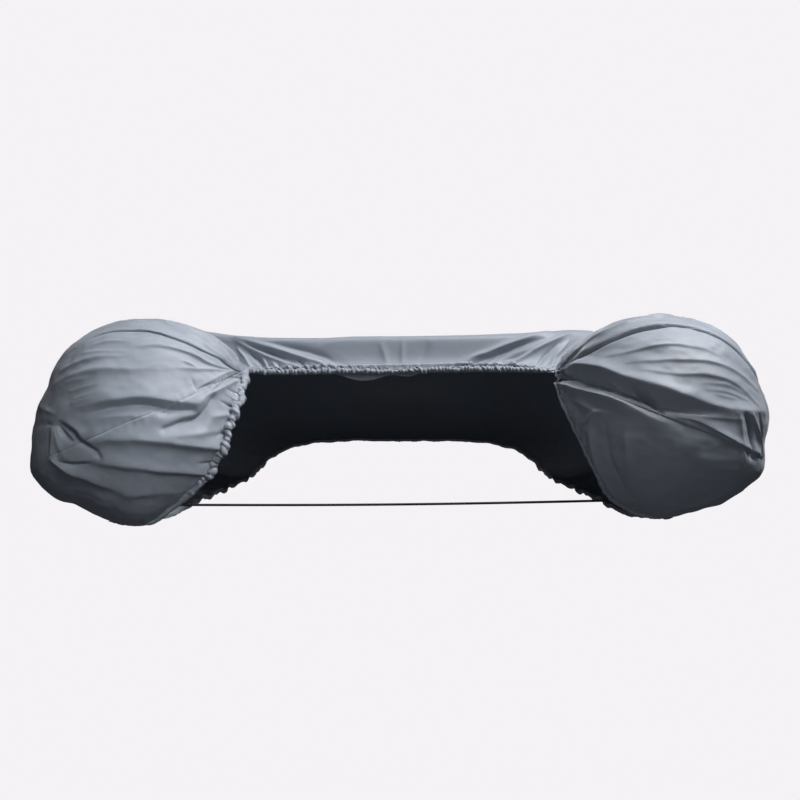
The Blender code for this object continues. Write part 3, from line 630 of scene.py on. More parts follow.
def tube_cloth(side, plan):
    """The smooth cloth on a tube end, for places of its laid-out plane (outward, up; rim at 1)."""
    reach = np.hypot(plan[..., 0], plan[..., 1])
    degrees = np.degrees(np.arctan2(plan[..., 0], plan[..., 1]))
    angle = np.radians(degrees)
    forward = np.maximum(reach - 1, 0) * REACH_LENGTH
    loose = 1 - smooth_step(forward / SNUG_FORWARD)
    rim = TUBE_RADIUS + (rim_radius(side, degrees) - TUBE_RADIUS) * loose
    turn = np.clip(reach, 0, 1) * math.pi / 2
    radius = rim * np.sin(turn)
    aft = RIM_AFT + DOME_DEPTH * np.cos(turn) - forward
    x = SIDES[side] * (TUBE_AXIS_X + radius * np.sin(angle))
    return np.stack([x, TRANSOM_Y - aft, TUBE_AXIS_Z + radius * np.cos(angle)], axis=-1)


def tube_normal(side, plan):
    step = 0.004
    across = tube_cloth(side, plan + (step, 0)) - tube_cloth(side, plan - (step, 0))
    upward = tube_cloth(side, plan + (0, step)) - tube_cloth(side, plan - (0, step))
    return unit(np.cross(across, upward) * SIDES[side])


def seam_curve(side, seam, shares):
    """Points of a seam in the laid-out plane of its tube end."""
    rows = np.array(SEAMS[side][seam], float)
    return smooth_line(plan_place(rows[:, 0], rows[:, 1]), shares)


def seen_place(side):
    """Turns a place seen from the stern into one of the laid-out plane, in metres."""
    inner_wall = 7.0         # reach forward of the rim, seen aslant, to a share of the rim's radius

    def place(out, up):
        degrees = math.degrees(math.atan2(out, up))
        ratio = math.hypot(out, up) / float(rim_radius(side, degrees))
        reach = math.asin(min(ratio, 1)) * 2 / math.pi + inner_wall * max(ratio - 1, 0)
        angle = math.radians(degrees)
        return reach * REACH_LENGTH * math.sin(angle), reach * REACH_LENGTH * math.cos(angle)

    return place


def end_relief(side, plan):
    """Height of folds, seams and wrinkles of a tube end above its smooth cloth (metres)."""
    shape = plan.shape[:-1]
    places = plan.reshape(-1, 2) * REACH_LENGTH
    corner = seam_curve(side, "over", [0.0])[0] * REACH_LENGTH
    from_corner = places - corner
    distance = np.hypot(from_corner[:, 0], from_corner[:, 1])
    bearing = np.arctan2(from_corner[:, 1], from_corner[:, 0])
    lift = fold_lift(places, read_folds(END_FOLDS[side], seen_place(side)))

    seed = 11 if side == "left" else 23
    fan = soft_noise(seed, bearing / FAN_ANGLE, np.log(distance + FAN_NEAR) / FAN_CHANGE)
    near_corner = smooth_step((distance - FAN_START) / FAN_GROWTH)
    near_corner = near_corner * (1 - smooth_step(distance / FAN_REACH))
    lift += FAN_HEIGHT * np.exp(-(fan / FAN_SHARPNESS)**2) * near_corner
    pulled = soft_noise(seed + 5, bearing / PULL_ANGLE, distance / PULL_LENGTH)
    lift += PULL_HEIGHT * pulled * smooth_step(distance / PULL_GROWTH)
    for i, (height, width, length) in enumerate(END_WRINKLES, 1):
        lift += height * soft_noise(seed + i, places[:, 0] / width, places[:, 1] / length)

    for seam, raised, sunk, raised_side, start, end in SEAM_STEPS[side]:
        line = seam_curve(side, seam, np.linspace(0, 1, 60)) * REACH_LENGTH
        gap, along, onto = line_distance(places, line)
        onto *= SIDES[side] * raised_side
        strength = start + (end - start) * smooth_step((along - SEAM_CHANGE_FROM) / SEAM_CHANGE)
        step = np.where(onto > 0, raised, sunk) * np.exp(-(gap / SEAM_REACH)**1.5)
        sway = PUCKER_SWAY * soft_noise(seed + 3, along * SWAY_STRETCHES, along * 0)
        waves = np.sin(along * PUCKERS + sway)
        lift += strength * (step - SEAM_GROOVE * np.exp(-(gap / SEAM_WIDTH)**2)
                            + SEAM_PUCKER * waves * np.exp(-(gap / PUCKER_REACH)**2))
    lift *= smooth_step(distance / CORNER_STILL)
    return lift.reshape(shape)


# ---------------------------------------------------------------- meshes
def grid_faces(grid, first=0):
    """Four-sided faces between a grid's points, which are numbered row by row from first."""
    rows, columns = grid.shape[:2]
    corner = np.arange(rows * columns).reshape(rows, columns) + first
    return np.stack([corner[:-1, :-1], corner[:-1, 1:], corner[1:, 1:], corner[1:, :-1]],
                    axis=-1).reshape(-1, 4).tolist()


def add_object(name, data):
    thing = bpy.data.objects.new(name, data)
    bpy.context.scene.collection.objects.link(thing)
    return thing


def cloth_mesh(name, points, faces, laid_out, material):
    """A piece from points above the ground, faces and each point's place in the laid-out cloth."""
    mesh = bpy.data.meshes.new(name)
    mesh.from_pydata(to_frame(points).tolist(), [], faces)
    layer = mesh.uv_layers.new(name="laid_out")
    corners = np.zeros(len(mesh.loops), np.int32)
    mesh.loops.foreach_get("vertex_index", corners)
    layer.data.foreach_set("uv", laid_out[corners].astype(np.float32).ravel())
    mesh.materials.append(material)
    mesh.shade_smooth()
    return add_object(name, mesh)


def grid_piece(name, side, grid, laid_out, material):
    """A piece from one grid of points, with the front of its faces outward on either side."""
    faces = grid_faces(grid)
    if side == "right":
        faces = [face[::-1] for face in faces]
    return cloth_mesh(name, grid.reshape(-1, 3), faces, laid_out.reshape(-1, 2), material)


def turned_in(edge, onward, normal, turn):
    """Columns that turn an edge in, from a table of how far on and how deep each one lies."""
    return np.stack([edge + onward * on - normal * deep for on, deep in turn], axis=1)


def to_frame(points):
    """Moves points from above the ground to the frame, whose origin is under the deck cloth."""
    moved = np.array(points, float)
    moved[..., 2] -= DECK_UNDERSIDE
    return moved


# ---------------------------------------------------------------- deck panel
def bow_path(turn):
    """Plan of a tube's axis round the bow, from 0 where it leaves the straight to 1 at the tip."""
    reach = BOW_FORWARD - TUBE_RADIUS - BOW_STRAIGHT
    angle = np.clip(turn, 0, 1) * math.pi / 2
    power = 2 / BOW_ROUNDNESS
    x = TUBE_AXIS_X * np.cos(angle)**power
    y = BOW_STRAIGHT + reach * np.sin(angle)**power
    return np.array([x, y])


def lift_at(forward):
    length = BOW_FORWARD - TUBE_RADIUS - BOW_LIFT_FROM
    return BOW_LIFT * smooth_step((forward - BOW_LIFT_FROM) / length)**1.3


def deck_profile(share):
    """Forward distance, share of the rise and length of cloth, at a share of that to the join."""
    forward = np.linspace(0, JOIN_FORWARD, 3000)
    rise = read_table(DECK_RISE, 1, forward)
    travelled = np.concatenate([[0], np.cumsum(np.hypot(np.diff(forward),
                                                        np.diff(rise) * NOMINAL_RISE))])
    at = share * travelled[-1]
    return np.interp(at, travelled, forward), np.interp(at, travelled, rise), at


def deck_top(x, forward, edge_x, edge_z):
    """Height of the deck cloth between the tubes, above the rise from the hem."""
    level = read_table(DECK_LEVEL, 1, forward)
    open_deck = level + (edge_z - level) * (np.abs(x) / edge_x)**3
    rim = read_table(DECK_RIM, 1, x)
    behind = smooth_step((forward - RIM_FORWARD) / RIM_BLEND)
    return rim + (open_deck - rim) * behind


def side_ripple(side, degrees, forward):
    """The elastic hem gathers the cloth below the tubes into uneven upright waves."""
    low = smooth_step((degrees - RIPPLE_FROM) / RIPPLE_GROWTH)
    phase = 0.7 if side == "left" else 2.1
    first, second = RIPPLE_WAVES
    waves = np.sin(forward * first + phase) + SECOND_WAVE * np.sin(forward * second + 2 * phase)
    start = smooth_step((forward - 0.05) / 0.3)
    return RIPPLE_HEIGHT * (waves - (1 + SECOND_WAVE)) * low * start


def side_gathers(side, degrees, forward):
    """Finer upright folds above the side hem."""
    seed = 31 if side == "left" else 37
    folds = soft_noise(seed, forward / 0.055, degrees / 170) ** 2
    fine = soft_noise(seed + 1, forward / 0.040, degrees / 60)
    lower = smooth_step((degrees - SIDE_FOLD_FROM) / SIDE_FOLD_GROWTH)
    return (SIDE_FOLD * folds - SIDE_SINK + SIDE_WRINKLE * fine * lower) * lower


def random_share(seed, number):
    """A number from 0 to 1 for each whole number, the same every time."""
    return np.random.default_rng(seed).random(997)[number.astype(int) % 997]


def hem_lobes(seed, distance, onward, slant, sway, pleat=PLEAT):
    """Shape of a gathered hem's lobes, from 0 in a crease to 1, and each lobe's own size."""
    still = np.zeros_like(distance)
    lean = slant + sway * soft_noise(seed + 3, distance / 0.045, still)
    uneven = LOBE_SWAY * soft_noise(seed, distance / LOBE_STRETCH, still)
    turns = distance / pleat + uneven + lean * onward
    number = np.floor(turns)
    size = LOBE_LEAST + LOBE_RANGE * random_share(seed + 1, number)
    return 1 - np.abs(2 * (turns - number) - 1)**LOBE_SQUARENESS, size


def hem_gathers(seed, distance, from_edge, casing, tilt=0.0, pleat=PLEAT):
    """Height of the folds that a hem's gathers send into the cloth beyond its casing (metres)."""
    beyond = np.maximum(from_edge - casing, 0)
    slid = distance + tilt * beyond
    puff, size = hem_lobes(seed, slid, beyond / CASING, 0.0, 0.5, pleat)
    folds = PUFF_HEIGHT * (puff * size - 0.6) * np.exp(-beyond / PUFF_REACH)
    for height, pleats, uneven, stretch, reach, own_seed in GATHERS:
        sway = uneven * soft_noise(seed + own_seed, slid / stretch, beyond * 0)
        turns = slid / (pleats * pleat) + sway
        folds = folds + height * np.sin(2 * math.pi * turns) * np.exp(-(beyond / reach)**1.4)
    under_roll = smooth_step((from_edge - casing) / 0.003 + 1)
    return folds * under_roll - CASING_GROOVE * np.exp(-((from_edge - casing) / GROOVE_WIDTH)**2)


def row_shares():
    """Shares of the way from the stern's edge to the join, close together near the edge."""
    even = np.linspace(0, 1, FINE_ROWS + 1)
    fine = FINE_SHARE * (0.28 * even + 0.72 * even**1.6)
    step = fine[-1] - fine[-2]
    later = np.linspace(0, 1, MIDDLE_ROWS + 1)[1:]
    rest = 1 - fine[-1]
    lead = step * MIDDLE_ROWS / rest
    return fine, fine[-1] + rest * (lead * later + (1 - lead) * later**1.5)


def stern_columns(side, cells, under_cells):
    """Where each column starts at the stern's edge, from the transom's corner outward."""
    over = seam_curve(side, "over", np.linspace(0, 1, cells - under_cells + 1))
    under = seam_curve(side, "under", np.linspace(1, 0, under_cells + 1))[1:]
    plan = np.concatenate([over, under])
    reach = np.hypot(plan[:, 0], plan[:, 1])
    degrees = np.degrees(np.unwrap(np.arctan2(plan[:, 0], plan[:, 1])))
    return degrees, reach


def stern_row(side, share, columns):
    """One row of the deck panel at the stern: its smooth points and its places on the tube end."""
    sign = SIDES[side]
    start_degrees, start_reach = columns
    even = np.linspace(0, 1, len(start_degrees))
    tube_degrees = TAKE_OFF_DEGREES + (SIDE_HEM_DEGREES - TAKE_OFF_DEGREES) * even
    join_reach = 1 + (RIM_AFT + JOIN_FORWARD) / REACH_LENGTH
    degrees = start_degrees + (tube_degrees - start_degrees) * smooth_step(share / TURN_SHARE)
    plan = plan_place(degrees, start_reach + (join_reach - start_reach) * share)
    angle = np.radians(degrees)
    tube = tube_cloth(side, plan)
    lean = tube[:, 1] - TRANSOM_Y
    ripple = side_ripple(side, degrees, lean)
    tube[:, 0] += sign * ripple * np.sin(angle)
    tube[:, 2] += ripple * np.cos(angle)

    flat = np.linspace(0, 1, FLAT_CELLS + 1)[:-1]
    if len(even) < TUBE_CELLS:
        flat = flat[::THINNING]
    forward, rise, _ = deck_profile(share)
    edge_x, edge_z = abs(tube[0, 0]), tube[0, 2]
    x = sign * flat * edge_x
    ahead = forward + (lean[0] - forward) * flat**5
    hem = read_table(HEM_LINE, 1, x)
    z = hem + (deck_top(x, ahead, edge_x, edge_z) - hem) * rise
    edge_hem = read_table(HEM_LINE, 1, sign * edge_x)
    edge = edge_hem + (deck_top(sign * edge_x, lean[0], edge_x, edge_z) - edge_hem) * rise
    z = z + (edge_z - edge) * flat**6
    deck = np.stack([x, TRANSOM_Y + ahead, z], axis=1)
    return np.concatenate([deck, tube]), plan, degrees


def forward_row(side, straight, turn, cells):
    """One row of the deck panel forward of the stern, square to the tube's axis."""
    sign = SIDES[side]
    even = np.linspace(0, 1, cells + 1)
    tube_degrees = TAKE_OFF_DEGREES + (SIDE_HEM_DEGREES - TAKE_OFF_DEGREES) * even
    flat = np.linspace(0, 1, FLAT_CELLS + 1)[:-1][::THINNING]
    axis = bow_path(turn) if turn > 0 else np.array([TUBE_AXIS_X, straight])
    ahead = bow_path(min(turn + 0.01, 1)) - bow_path(max(turn - 0.01, 0))
    if turn == 0:
        ahead = np.array([0.0, 1.0])
    if turn == 1:
        ahead = np.array([-1.0, 0.0])
    ahead = ahead / np.linalg.norm(ahead)
    outward = np.array([ahead[1], -ahead[0]])
    angle = np.radians(tube_degrees)
    distance = straight + turn
    radius = TUBE_RADIUS + side_ripple(side, tube_degrees, distance) * (1 - turn)
    plan = axis[None, :] + outward[None, :] * (radius * np.sin(angle))[:, None]
    tube = np.stack([sign * plan[:, 0], TRANSOM_Y + plan[:, 1],
                     TUBE_AXIS_Z + lift_at(axis[1]) + radius * np.cos(angle)], axis=1)
    inner_y = straight + 0.62 * turn
    x = flat * abs(tube[0, 0])
    forward = inner_y + (tube[0, 1] - TRANSOM_Y - inner_y) * flat**1.5
    level = read_table(DECK_LEVEL, 1, forward)
    z = level + (tube[0, 2] - level) * flat**3
    deck = np.stack([sign * x, TRANSOM_Y + forward, z], axis=1)
    return np.concatenate([deck, tube]), tube_degrees, distance


def deck_grids(side):
    """The fine rows at the stern, the coarse rows that follow them and the rows up to the bow."""
    fine_shares, middle_shares = row_shares()
    coarse_shares = np.concatenate([fine_shares[-2:], middle_shares])
    columns = stern_columns(side, TUBE_CELLS, UNDER_CELLS)
    fine = [stern_row(side, share, columns) for share in fine_shares]
    columns = [column[::THINNING] for column in columns]
    coarse = [stern_row(side, share, columns) for share in coarse_shares]
    stations = [(JOIN_FORWARD + (BOW_STRAIGHT - JOIN_FORWARD) * i / STRAIGHT_ROWS, 0.0)
                for i in range(1, STRAIGHT_ROWS + 1)]
    stations += [(BOW_STRAIGHT, i / BOW_ROWS) for i in range(1, BOW_ROWS + 1)]
    forward = [forward_row(side, *station, TUBE_CELLS // THINNING) for station in stations]
    return fine, fine_shares, coarse, coarse_shares, forward


def outward_normals(side, grid):
    """Unit normals of one half's grid of points, on the cloth's outer side."""
    across = np.cross(np.gradient(grid, axis=1), np.gradient(grid, axis=0))
    return unit(across, 1e-12) * SIDES[side]


def stern_lift(side, rows, shares, flat_count):
    """Height of folds above the stern's smooth points, row by row."""
    points, plans, degrees = (np.array(part) for part in zip(*rows))
    lift = np.zeros(points.shape[:2])
    lift[:, flat_count:] = end_relief(side, plans)
    forward = points[..., 1] - TRANSOM_Y

    rise_places = points[..., [0, 2]].reshape(-1, 2)
    rise = fold_lift(rise_places, read_folds(RISE_FOLDS)).reshape(forward.shape)
    rise *= smooth_step((forward + 0.004) / 0.012) * (1 - smooth_step((forward - 0.10) / 0.07))
    lift += rise
    lift += deck_lift(points)
    tube = points[:, flat_count:]
    lift[:, flat_count:] += (side_gathers(side, degrees, tube[..., 1] - TRANSOM_Y)
                             * smooth_step((tube[..., 1] - TRANSOM_Y) / 0.15))

    # the gathered hem across the transom, out to the corner
    cloth = np.array([deck_profile(share)[2] for share in shares])
    x = points[0, :, 0]
    corner_x = abs(points[0, flat_count, 0])
    inside = 1 - smooth_step((np.abs(x) - corner_x + 0.004) / 0.004)
    pulled = 0.25 + 0.75 * smooth_step((np.abs(x) - 0.07) / 0.10)
    gathers = hem_gathers(41, x[None, :] + 1, cloth[:, None], CASING,
                          -0.6 * np.clip(x / 0.12, -1, 1)[None, :],
                          TRANSOM_PLEAT) * (inside * pulled)[None, :]
    gathers[:, flat_count:] = 0
    return lift + gathers


def deck_lift(points):
    """Height of the deck's broad folds, and of the slight unevenness of stretched cloth."""
    shape = points.shape[:-1]
    places = np.stack([points[..., 0], points[..., 1] - TRANSOM_Y], axis=-1).reshape(-1, 2)
    lift = fold_lift(places, read_folds(DECK_FOLDS))
    for i, (height, width, length) in enumerate(DECK_WRINKLES):
        lift += height * soft_noise(51 + i, places[:, 0] / width, places[:, 1] / length)
    behind = smooth_step((places[:, 1] - 0.10) / 0.10)
    return (lift * behind).reshape(shape)


def stern_edge(lifted, flat_count, normals):
    """Rows that turn the stern's edge in: the hem's casing, and the lap under a seam."""
    edge = lifted[0]
    x = edge[:flat_count, 0]
    drop = sum(np.exp(-(np.abs(x - middle) / width)**power) * height
               for middle, width, height, power in CASING_LOBES)
    # forward and up from the hem's edge, for the fold's bottom and the casing's inner layer
    casing = ((0.0022, -0.0009), (CASING_THICK, 0.0012), (CASING_THICK + 0.0006, 0.0105),
              (0.0085, 0.008 - drop))
    # how far on and how deep under the cloth, for the lap under the seam over a tube
    lap = ((-0.0004, 0.0009), (0.0002, 0.0022), (0.0022, 0.0026), (0.0060, 0.0026))
    tube = slice(flat_count, None)
    onward = unit(lifted[1, tube] - edge[tube], 1e-6)
    turned = []
    for (ahead, up), (on, depth) in zip(casing, lap):
        row = edge.copy()
        row[:flat_count, 1] += ahead
        row[:flat_count, 2] += up
        row[tube] += onward * on - normals[0, tube] * depth
        turned.append(row)
    return np.array(turned[::-1])


def side_edge(grid, normals):
    """Columns that turn the side hem in, after the last column of a grid."""
    last, before = grid[:, -1], grid[:, -2]
    return turned_in(last, unit(last - before), normals[:, -1], SIDE_TURN)


def deck_half(side):
    """Both grids of one half of the deck panel, with folds and turned edges."""
    fine, fine_shares, coarse, coarse_shares, forward = deck_grids(side)
    fine_points = np.array([row[0] for row in fine])
    fine_normals = outward_normals(side, fine_points)
    fine_lift = stern_lift(side, fine, fine_shares, FLAT_CELLS)
    fine_lifted = fine_points + fine_normals * fine_lift[..., None]

    coarse_flat = FLAT_CELLS // THINNING
    forward_points, tube_degrees, distance = (np.array(part) for part in zip(*forward))
    all_points = np.concatenate([np.array([row[0] for row in coarse]), forward_points])
    normals = outward_normals(side, all_points)
    lift = np.zeros(all_points.shape[:2])
    lift[:len(coarse)] = stern_lift(side, coarse, coarse_shares, coarse_flat)
    ahead = lift[len(coarse):]
    ahead += deck_lift(forward_points)
    ahead[:, coarse_flat:] += side_gathers(side, tube_degrees, distance[:, None])
    lifted = all_points + normals * lift[..., None]
    # the rows before the coarse grid's first one only gave it its slopes
    coarse_lifted, coarse_normals = lifted[1:], normals[1:]
    coarse_lifted[0] = fine_lifted[-1, thinned_columns()]

    cloth = np.array([deck_profile(share)[2] for share in fine_shares])
    sewn = int(np.searchsorted(cloth, CASING + SEWN_ABOVE))
    edges = {
        "transom": fine_lifted[0, :FLAT_CELLS + 1],
        "sewn": fine_lifted[sewn, :FLAT_CELLS - 3],
        "sewn_normal": fine_normals[sewn, :FLAT_CELLS - 3],
        "side": np.concatenate([fine_lifted[:, -1], coarse_lifted[1:, -1]]),
        "side_before": np.concatenate([fine_lifted[:, -2], coarse_lifted[1:, -2]]),
        "side_normal": np.concatenate([fine_normals[:, -1], coarse_normals[1:, -1]]),
    }
    edge = stern_edge(fine_lifted, FLAT_CELLS, fine_normals)
    fine_all = np.concatenate([edge, fine_lifted])
    fine_all_normals = np.concatenate([np.repeat(fine_normals[:1], len(edge), axis=0), fine_normals])
    fine_all = np.concatenate([fine_all, side_edge(fine_all, fine_all_normals)], axis=1)
    coarse_all = np.concatenate([coarse_lifted, side_edge(coarse_lifted, coarse_normals)], axis=1)
    coarse_all[0] = fine_all[-1, thinned_columns(turned=True)]
    return fine_all, coarse_all, edges


def thinned_columns(turned=False):
    """The fine columns that go on as coarse ones, if wanted with those of the turned hem."""
    last = FLAT_CELLS + TUBE_CELLS
    kept = list(range(0, last + 1, THINNING))
    return kept + [last + 1 + i for i in range(len(SIDE_TURN))] * turned


def transition_faces(fine_last, coarse_first):
    """Faces from the fine grid's last row to the coarse grid's first new row."""
    kept = thinned_columns(turned=True)
    return [[*range(fine_last + a, fine_last + b + 1), coarse_first + j + 1, coarse_first + j]
            for j, (a, b) in enumerate(zip(kept, kept[1:]))]


def half_mesh(side, first):
    """Points, faces and laid-out places of one half, its points numbered from first."""
    fine, coarse, edges = deck_half(side)
    coarse = coarse[1:]
    rows, columns = fine.shape[:2]
    coarse_start = first + rows * columns
    faces = (grid_faces(fine, first) + transition_faces(coarse_start - columns, coarse_start)
             + grid_faces(coarse, coarse_start))
    if side == "left":
        faces = [face[::-1] for face in faces]
    points = np.concatenate([grid.reshape(-1, 3) for grid in (fine, coarse)])
    laid_out = np.concatenate([laid_out_places(grid).reshape(-1, 2) for grid in (fine, coarse)])
    laid_out[:, 0] *= SIDES[side]
    return points, faces, laid_out, edges


def laid_out_places(grid):
    """Distance across the cloth from its first column, and forward along it, in metres."""
    across = np.linalg.norm(np.diff(grid, axis=1), axis=-1)
    across = np.concatenate([np.zeros((len(grid), 1)), np.cumsum(across, axis=1)], axis=1)
    return np.stack([across, grid[..., 1]], axis=-1)


def deck_stitches(left, right, thread):
    """The row above the transom hem, and the rows beside the seams over the tubes."""
    across, normals = (np.concatenate([left[key][::-1], right[key][1:]])
                       for key in ("sewn", "sewn_normal"))
    rows = [(across, normals)] + [seam_stitches(side, "over") for side in SIDES]
    return stitches("deck_stitches", rows, thread)


def build_deck(material, thread):
    """The deck panel, and the pieces that are sewn on it."""
    points, faces, laid_out, left = half_mesh("left", 0)
    more_points, more_faces, more_laid_out, right = half_mesh("right", len(points))
    deck = cloth_mesh("deck_cloth", np.concatenate([points, more_points]), faces + more_faces,
                      np.concatenate([laid_out, more_laid_out]), material)
    weld(deck)
    return deck, [*deck_rolls(left, right, material), deck_stitches(left, right, thread)]


def deck_rolls(left, right, material):
    """The rolls of the hem across the transom and of the hem under the tubes and round the bow."""
    across = np.concatenate([left["transom"][::-1], right["transom"][1:]])
    down = np.tile([0.0, 0.0, -1.0], (len(across), 1))
    aft = np.tile([0.0, -1.0, 0.0], (len(across), 1))
    fullness = ROLL_RADIUS * read_table(TRANSOM_ROLL, 1, np.linspace(0, 1, len(across)))
    rolls = [hem_roll("transom_hem", "left", 41, across, down, aft, fullness,
                      (0.85, 0.22), (-1.0, 1.1), 0.55, material, pleat=TRANSOM_PLEAT)]
    edge, before, normal = (np.concatenate([left[key], right[key][::-1]])
                            for key in ("side", "side_before", "side_normal"))
    fullness = np.full(len(edge), ROLL_RADIUS * 0.65)
    rolls.append(hem_roll("side_hem", "left", 45, edge, unit(edge - before), normal, fullness,
                          (0.85, 0.22), (0.0, 1.2), 0.18, material, step=0.003))
    return rolls


def weld(piece):
    """Joins points that lie on each other, such as along the boat's centre line."""
    mesh = bmesh.new()
    mesh.from_mesh(piece.data)
    bmesh.ops.remove_doubles(mesh, verts=mesh.verts, dist=0.00006)
    mesh.to_mesh(piece.data)
    mesh.free()


# ---------------------------------------------------------------- caps on the tube ends
def cap_grid(first, second):
    """Places of a lens-shaped panel between two seams, closer together beside its seams."""
    even = np.linspace(0, 1, CAP_ROWS + 1)
    share = even - 0.6 * np.sin(2 * math.pi * even) / (2 * math.pi)
    return first[:, None, :] + (second - first)[:, None, :] * share[None, :, None]


def lower_edge(side):
    """The lower cap's lower edge: its hem, and its seam with the deck panel."""
    hem = seam_curve(side, "hem", np.linspace(0, 1, CAP_CELLS - CAP_UNDER_CELLS + 1))
    under = seam_curve(side, "under", np.linspace(0, 1, CAP_UNDER_CELLS + 1))
    return np.concatenate([hem, under[1:]])


def edge_direction(grid, edge, before):
    return unit(grid[:, edge] - grid[:, before], 1e-6)


def build_upper_cap(side, material):
    over, across = (seam_curve(side, seam, np.linspace(0, 1, CAP_CELLS + 1))
                    for seam in ("over", "across"))
    plan = cap_grid(over, across)
    normals = tube_normal(side, plan)
    points = tube_cloth(side, plan) + normals * end_relief(side, plan)[..., None]
    return cap_piece("cap_upper_", side, points, normals, 0.0016, UPPER_CAP_TURN, material)


def build_lower_cap(side, material):
    """The lower cap, and the roll of its hem."""
    across = seam_curve(side, "across", np.linspace(0, 1, CAP_CELLS + 1))
    plan = cap_grid(across, lower_edge(side))
    normals = tube_normal(side, plan)
    smooth = tube_cloth(side, plan)
    travelled = distance_along(smooth[:, -1])
    rest = np.linalg.norm(np.diff(smooth, axis=1), axis=-1)[:, ::-1]
    from_edge = np.concatenate([np.zeros((len(rest), 1)), np.cumsum(rest, axis=1)], axis=1)[:, ::-1]
    hem_end = travelled[CAP_CELLS - CAP_UNDER_CELLS]
    on_hem = 1 - smooth_step((travelled - hem_end + 0.03) / 0.03)
    on_hem *= smooth_step(travelled / 0.02)
    seed, fullness, raised = (61, 1.0, 0.85) if side == "left" else (71, 0.75, 0.3)
    strength = fullness * (1 - 0.75 * smooth_step((travelled - 0.27) / 0.2))
    gathers = hem_gathers(seed, travelled[:, None], from_edge, 0.75 * CASING)
    lift = end_relief(side, plan) + gathers * (on_hem * strength)[:, None]
    points = smooth + normals * lift[..., None]
    cap = cap_piece("cap_lower_", side, points, normals, 0.0018, LOWER_CAP_TURN, material)

    hem = slice(0, CAP_CELLS - CAP_UNDER_CELLS + 1)
    full, inside, crease = (read_table(HEM_ROLLS[side], column, travelled[hem] / hem_end)
                            for column in (1, 2, 3))
    # the roll stands out toward the stern on the tube's inner wall
    standing = unit(normals[hem, -1] + (0.0, -1.4, 0.0))
    roll = hem_roll("cap_hem_" + side, side, seed, points[hem, -1],
                    edge_direction(points, -1, -3)[hem], standing, ROLL_RADIUS * full,
                    (inside, raised), (0.0, 2.4), crease, material)
    return cap, roll


def cap_piece(name, side, points, normals, tuck, turn, material):
    """A cap from its points: one edge goes on under its neighbour and the other is turned in."""
    beyond = points[:, 0] + edge_direction(points, 0, 2) * CAP_TUCK - normals[:, 0] * tuck
    turned = turned_in(points[:, -1], edge_direction(points, -1, -3), normals[:, -1], turn)
    grid = np.concatenate([beyond[:, None], points, turned], axis=1)
    laid_out = np.stack([grid[..., 0] * SIDES[side], grid[..., 2]], axis=-1)
    piece = grid_piece(name + side + "_cloth", side, grid, laid_out, material)
    weld(piece)
    return piece


# ---------------------------------------------------------------- gathered hems
def even_line(points, others, step):
    """A line of points resampled at even steps, with the other rows that go with its points."""
    length = distance_along(points)
    count = max(int(length[-1] / step), 8)
    at = np.linspace(0, length[-1], count + 1)
    spread = [np.stack([np.interp(at, length, rows[:, k]) for k in range(rows.shape[1])], axis=1)
              for rows in [points] + others]
    return at, spread


def square_to_run(line, normal, outward, reach=5):
    """A line's normal and the direction across it, both made square to its smoothed run."""
    ends = np.pad(line, ((reach, reach), (0, 0)), "edge")
    run = unit(ends[2 * reach:] - ends[:-2 * reach])
    normal = unit(normal - run * (normal * run).sum(axis=1, keepdims=True))
    across = np.cross(run, normal)
    return normal, across * np.sign((across * outward).sum())


def hem_roll(name, side, seed, edge, outward, normal, radius, place, twist, crease, material,
             step=0.0016, pleat=PLEAT):
    """The hem's casing with the elastic in it: a thin roll, puffed out between its gathers.

    Its place is how far inside the cloth's edge and how high above the cloth it lies, in radii.
    Its twist is how far its creases slant on the way round it, and how much that varies. Crease
    is how much of its radius a crease takes.
    """
    along = np.stack([radius, place[0] + 0 * radius, crease + 0 * radius], axis=1)
    distance, (edge, outward, normal, along) = even_line(edge, [outward, normal, along], step)
    radius, inset, crease = along[:, :1], along[:, 1:2], along[:, 2:]
    normal, outward = square_to_run(edge, normal, outward)
    theta = np.radians(np.linspace(*ROLL_ANGLES, ROLL_CELLS + 1))
    onward = np.linspace(0, 1, ROLL_CELLS + 1)[None, :] * np.ones((len(edge), 1))
    puff, size = hem_lobes(seed, distance[:, None] + 0 * onward, onward, *twist, pleat)
    still = np.zeros_like(distance)
    sway = ROLL_SWAY * soft_noise(seed + 6, distance / SWAY_LENGTH, still)[:, None]
    lift = ROLL_LIFT * soft_noise(seed + 7, distance / LIFT_LENGTH, still)[:, None]
    wide = radius * (1.1 - crease + 1.05 * crease * (puff * size - 0.15))
    crumples = soft_noise(seed + 8, distance[:, None] / CRUMPLE_LENGTH, 4.0 * onward)
    crumple = 1 + ROLL_CRUMPLE * crease * crumples
    from_end = np.minimum(distance, distance[-1] - distance)
    ends = ROLL_END + (1 - ROLL_END) * smooth_step(from_end / END_LENGTH)
    wide = wide * ends[:, None]
    centre = edge - outward * radius * (inset + sway) + normal * radius * (place[1] + lift)
    around = (np.cos(theta)[None, :, None] * outward[:, None, :]
              + np.sin(theta)[None, :, None] * normal[:, None, :])
    grid = centre[:, None, :] + around * (wide * crumple)[..., None]
    laid_out = np.stack([distance[:, None] + 0 * onward, radius * 5 * onward], axis=-1)
    return grid_piece(name, side, grid, laid_out, material)


# ---------------------------------------------------------------- stitches
def seam_stitches(side, seam):
    """The line of a row of stitches beside a seam, on its raised side, and its normals."""
    raised_side = next(row[3] for row in SEAM_STEPS[side] if row[0] == seam)
    line = seam_curve(side, seam, np.linspace(0.03, 0.97, 400))
    run = unit(np.gradient(line, axis=0))
    aside = np.stack([-run[:, 1], run[:, 0]], axis=1) * SIDES[side] * raised_side
    plan = line + aside * STITCH_INSET / REACH_LENGTH
    normals = tube_normal(side, plan)
    return tube_cloth(side, plan) + normals * end_relief(side, plan)[:, None], normals


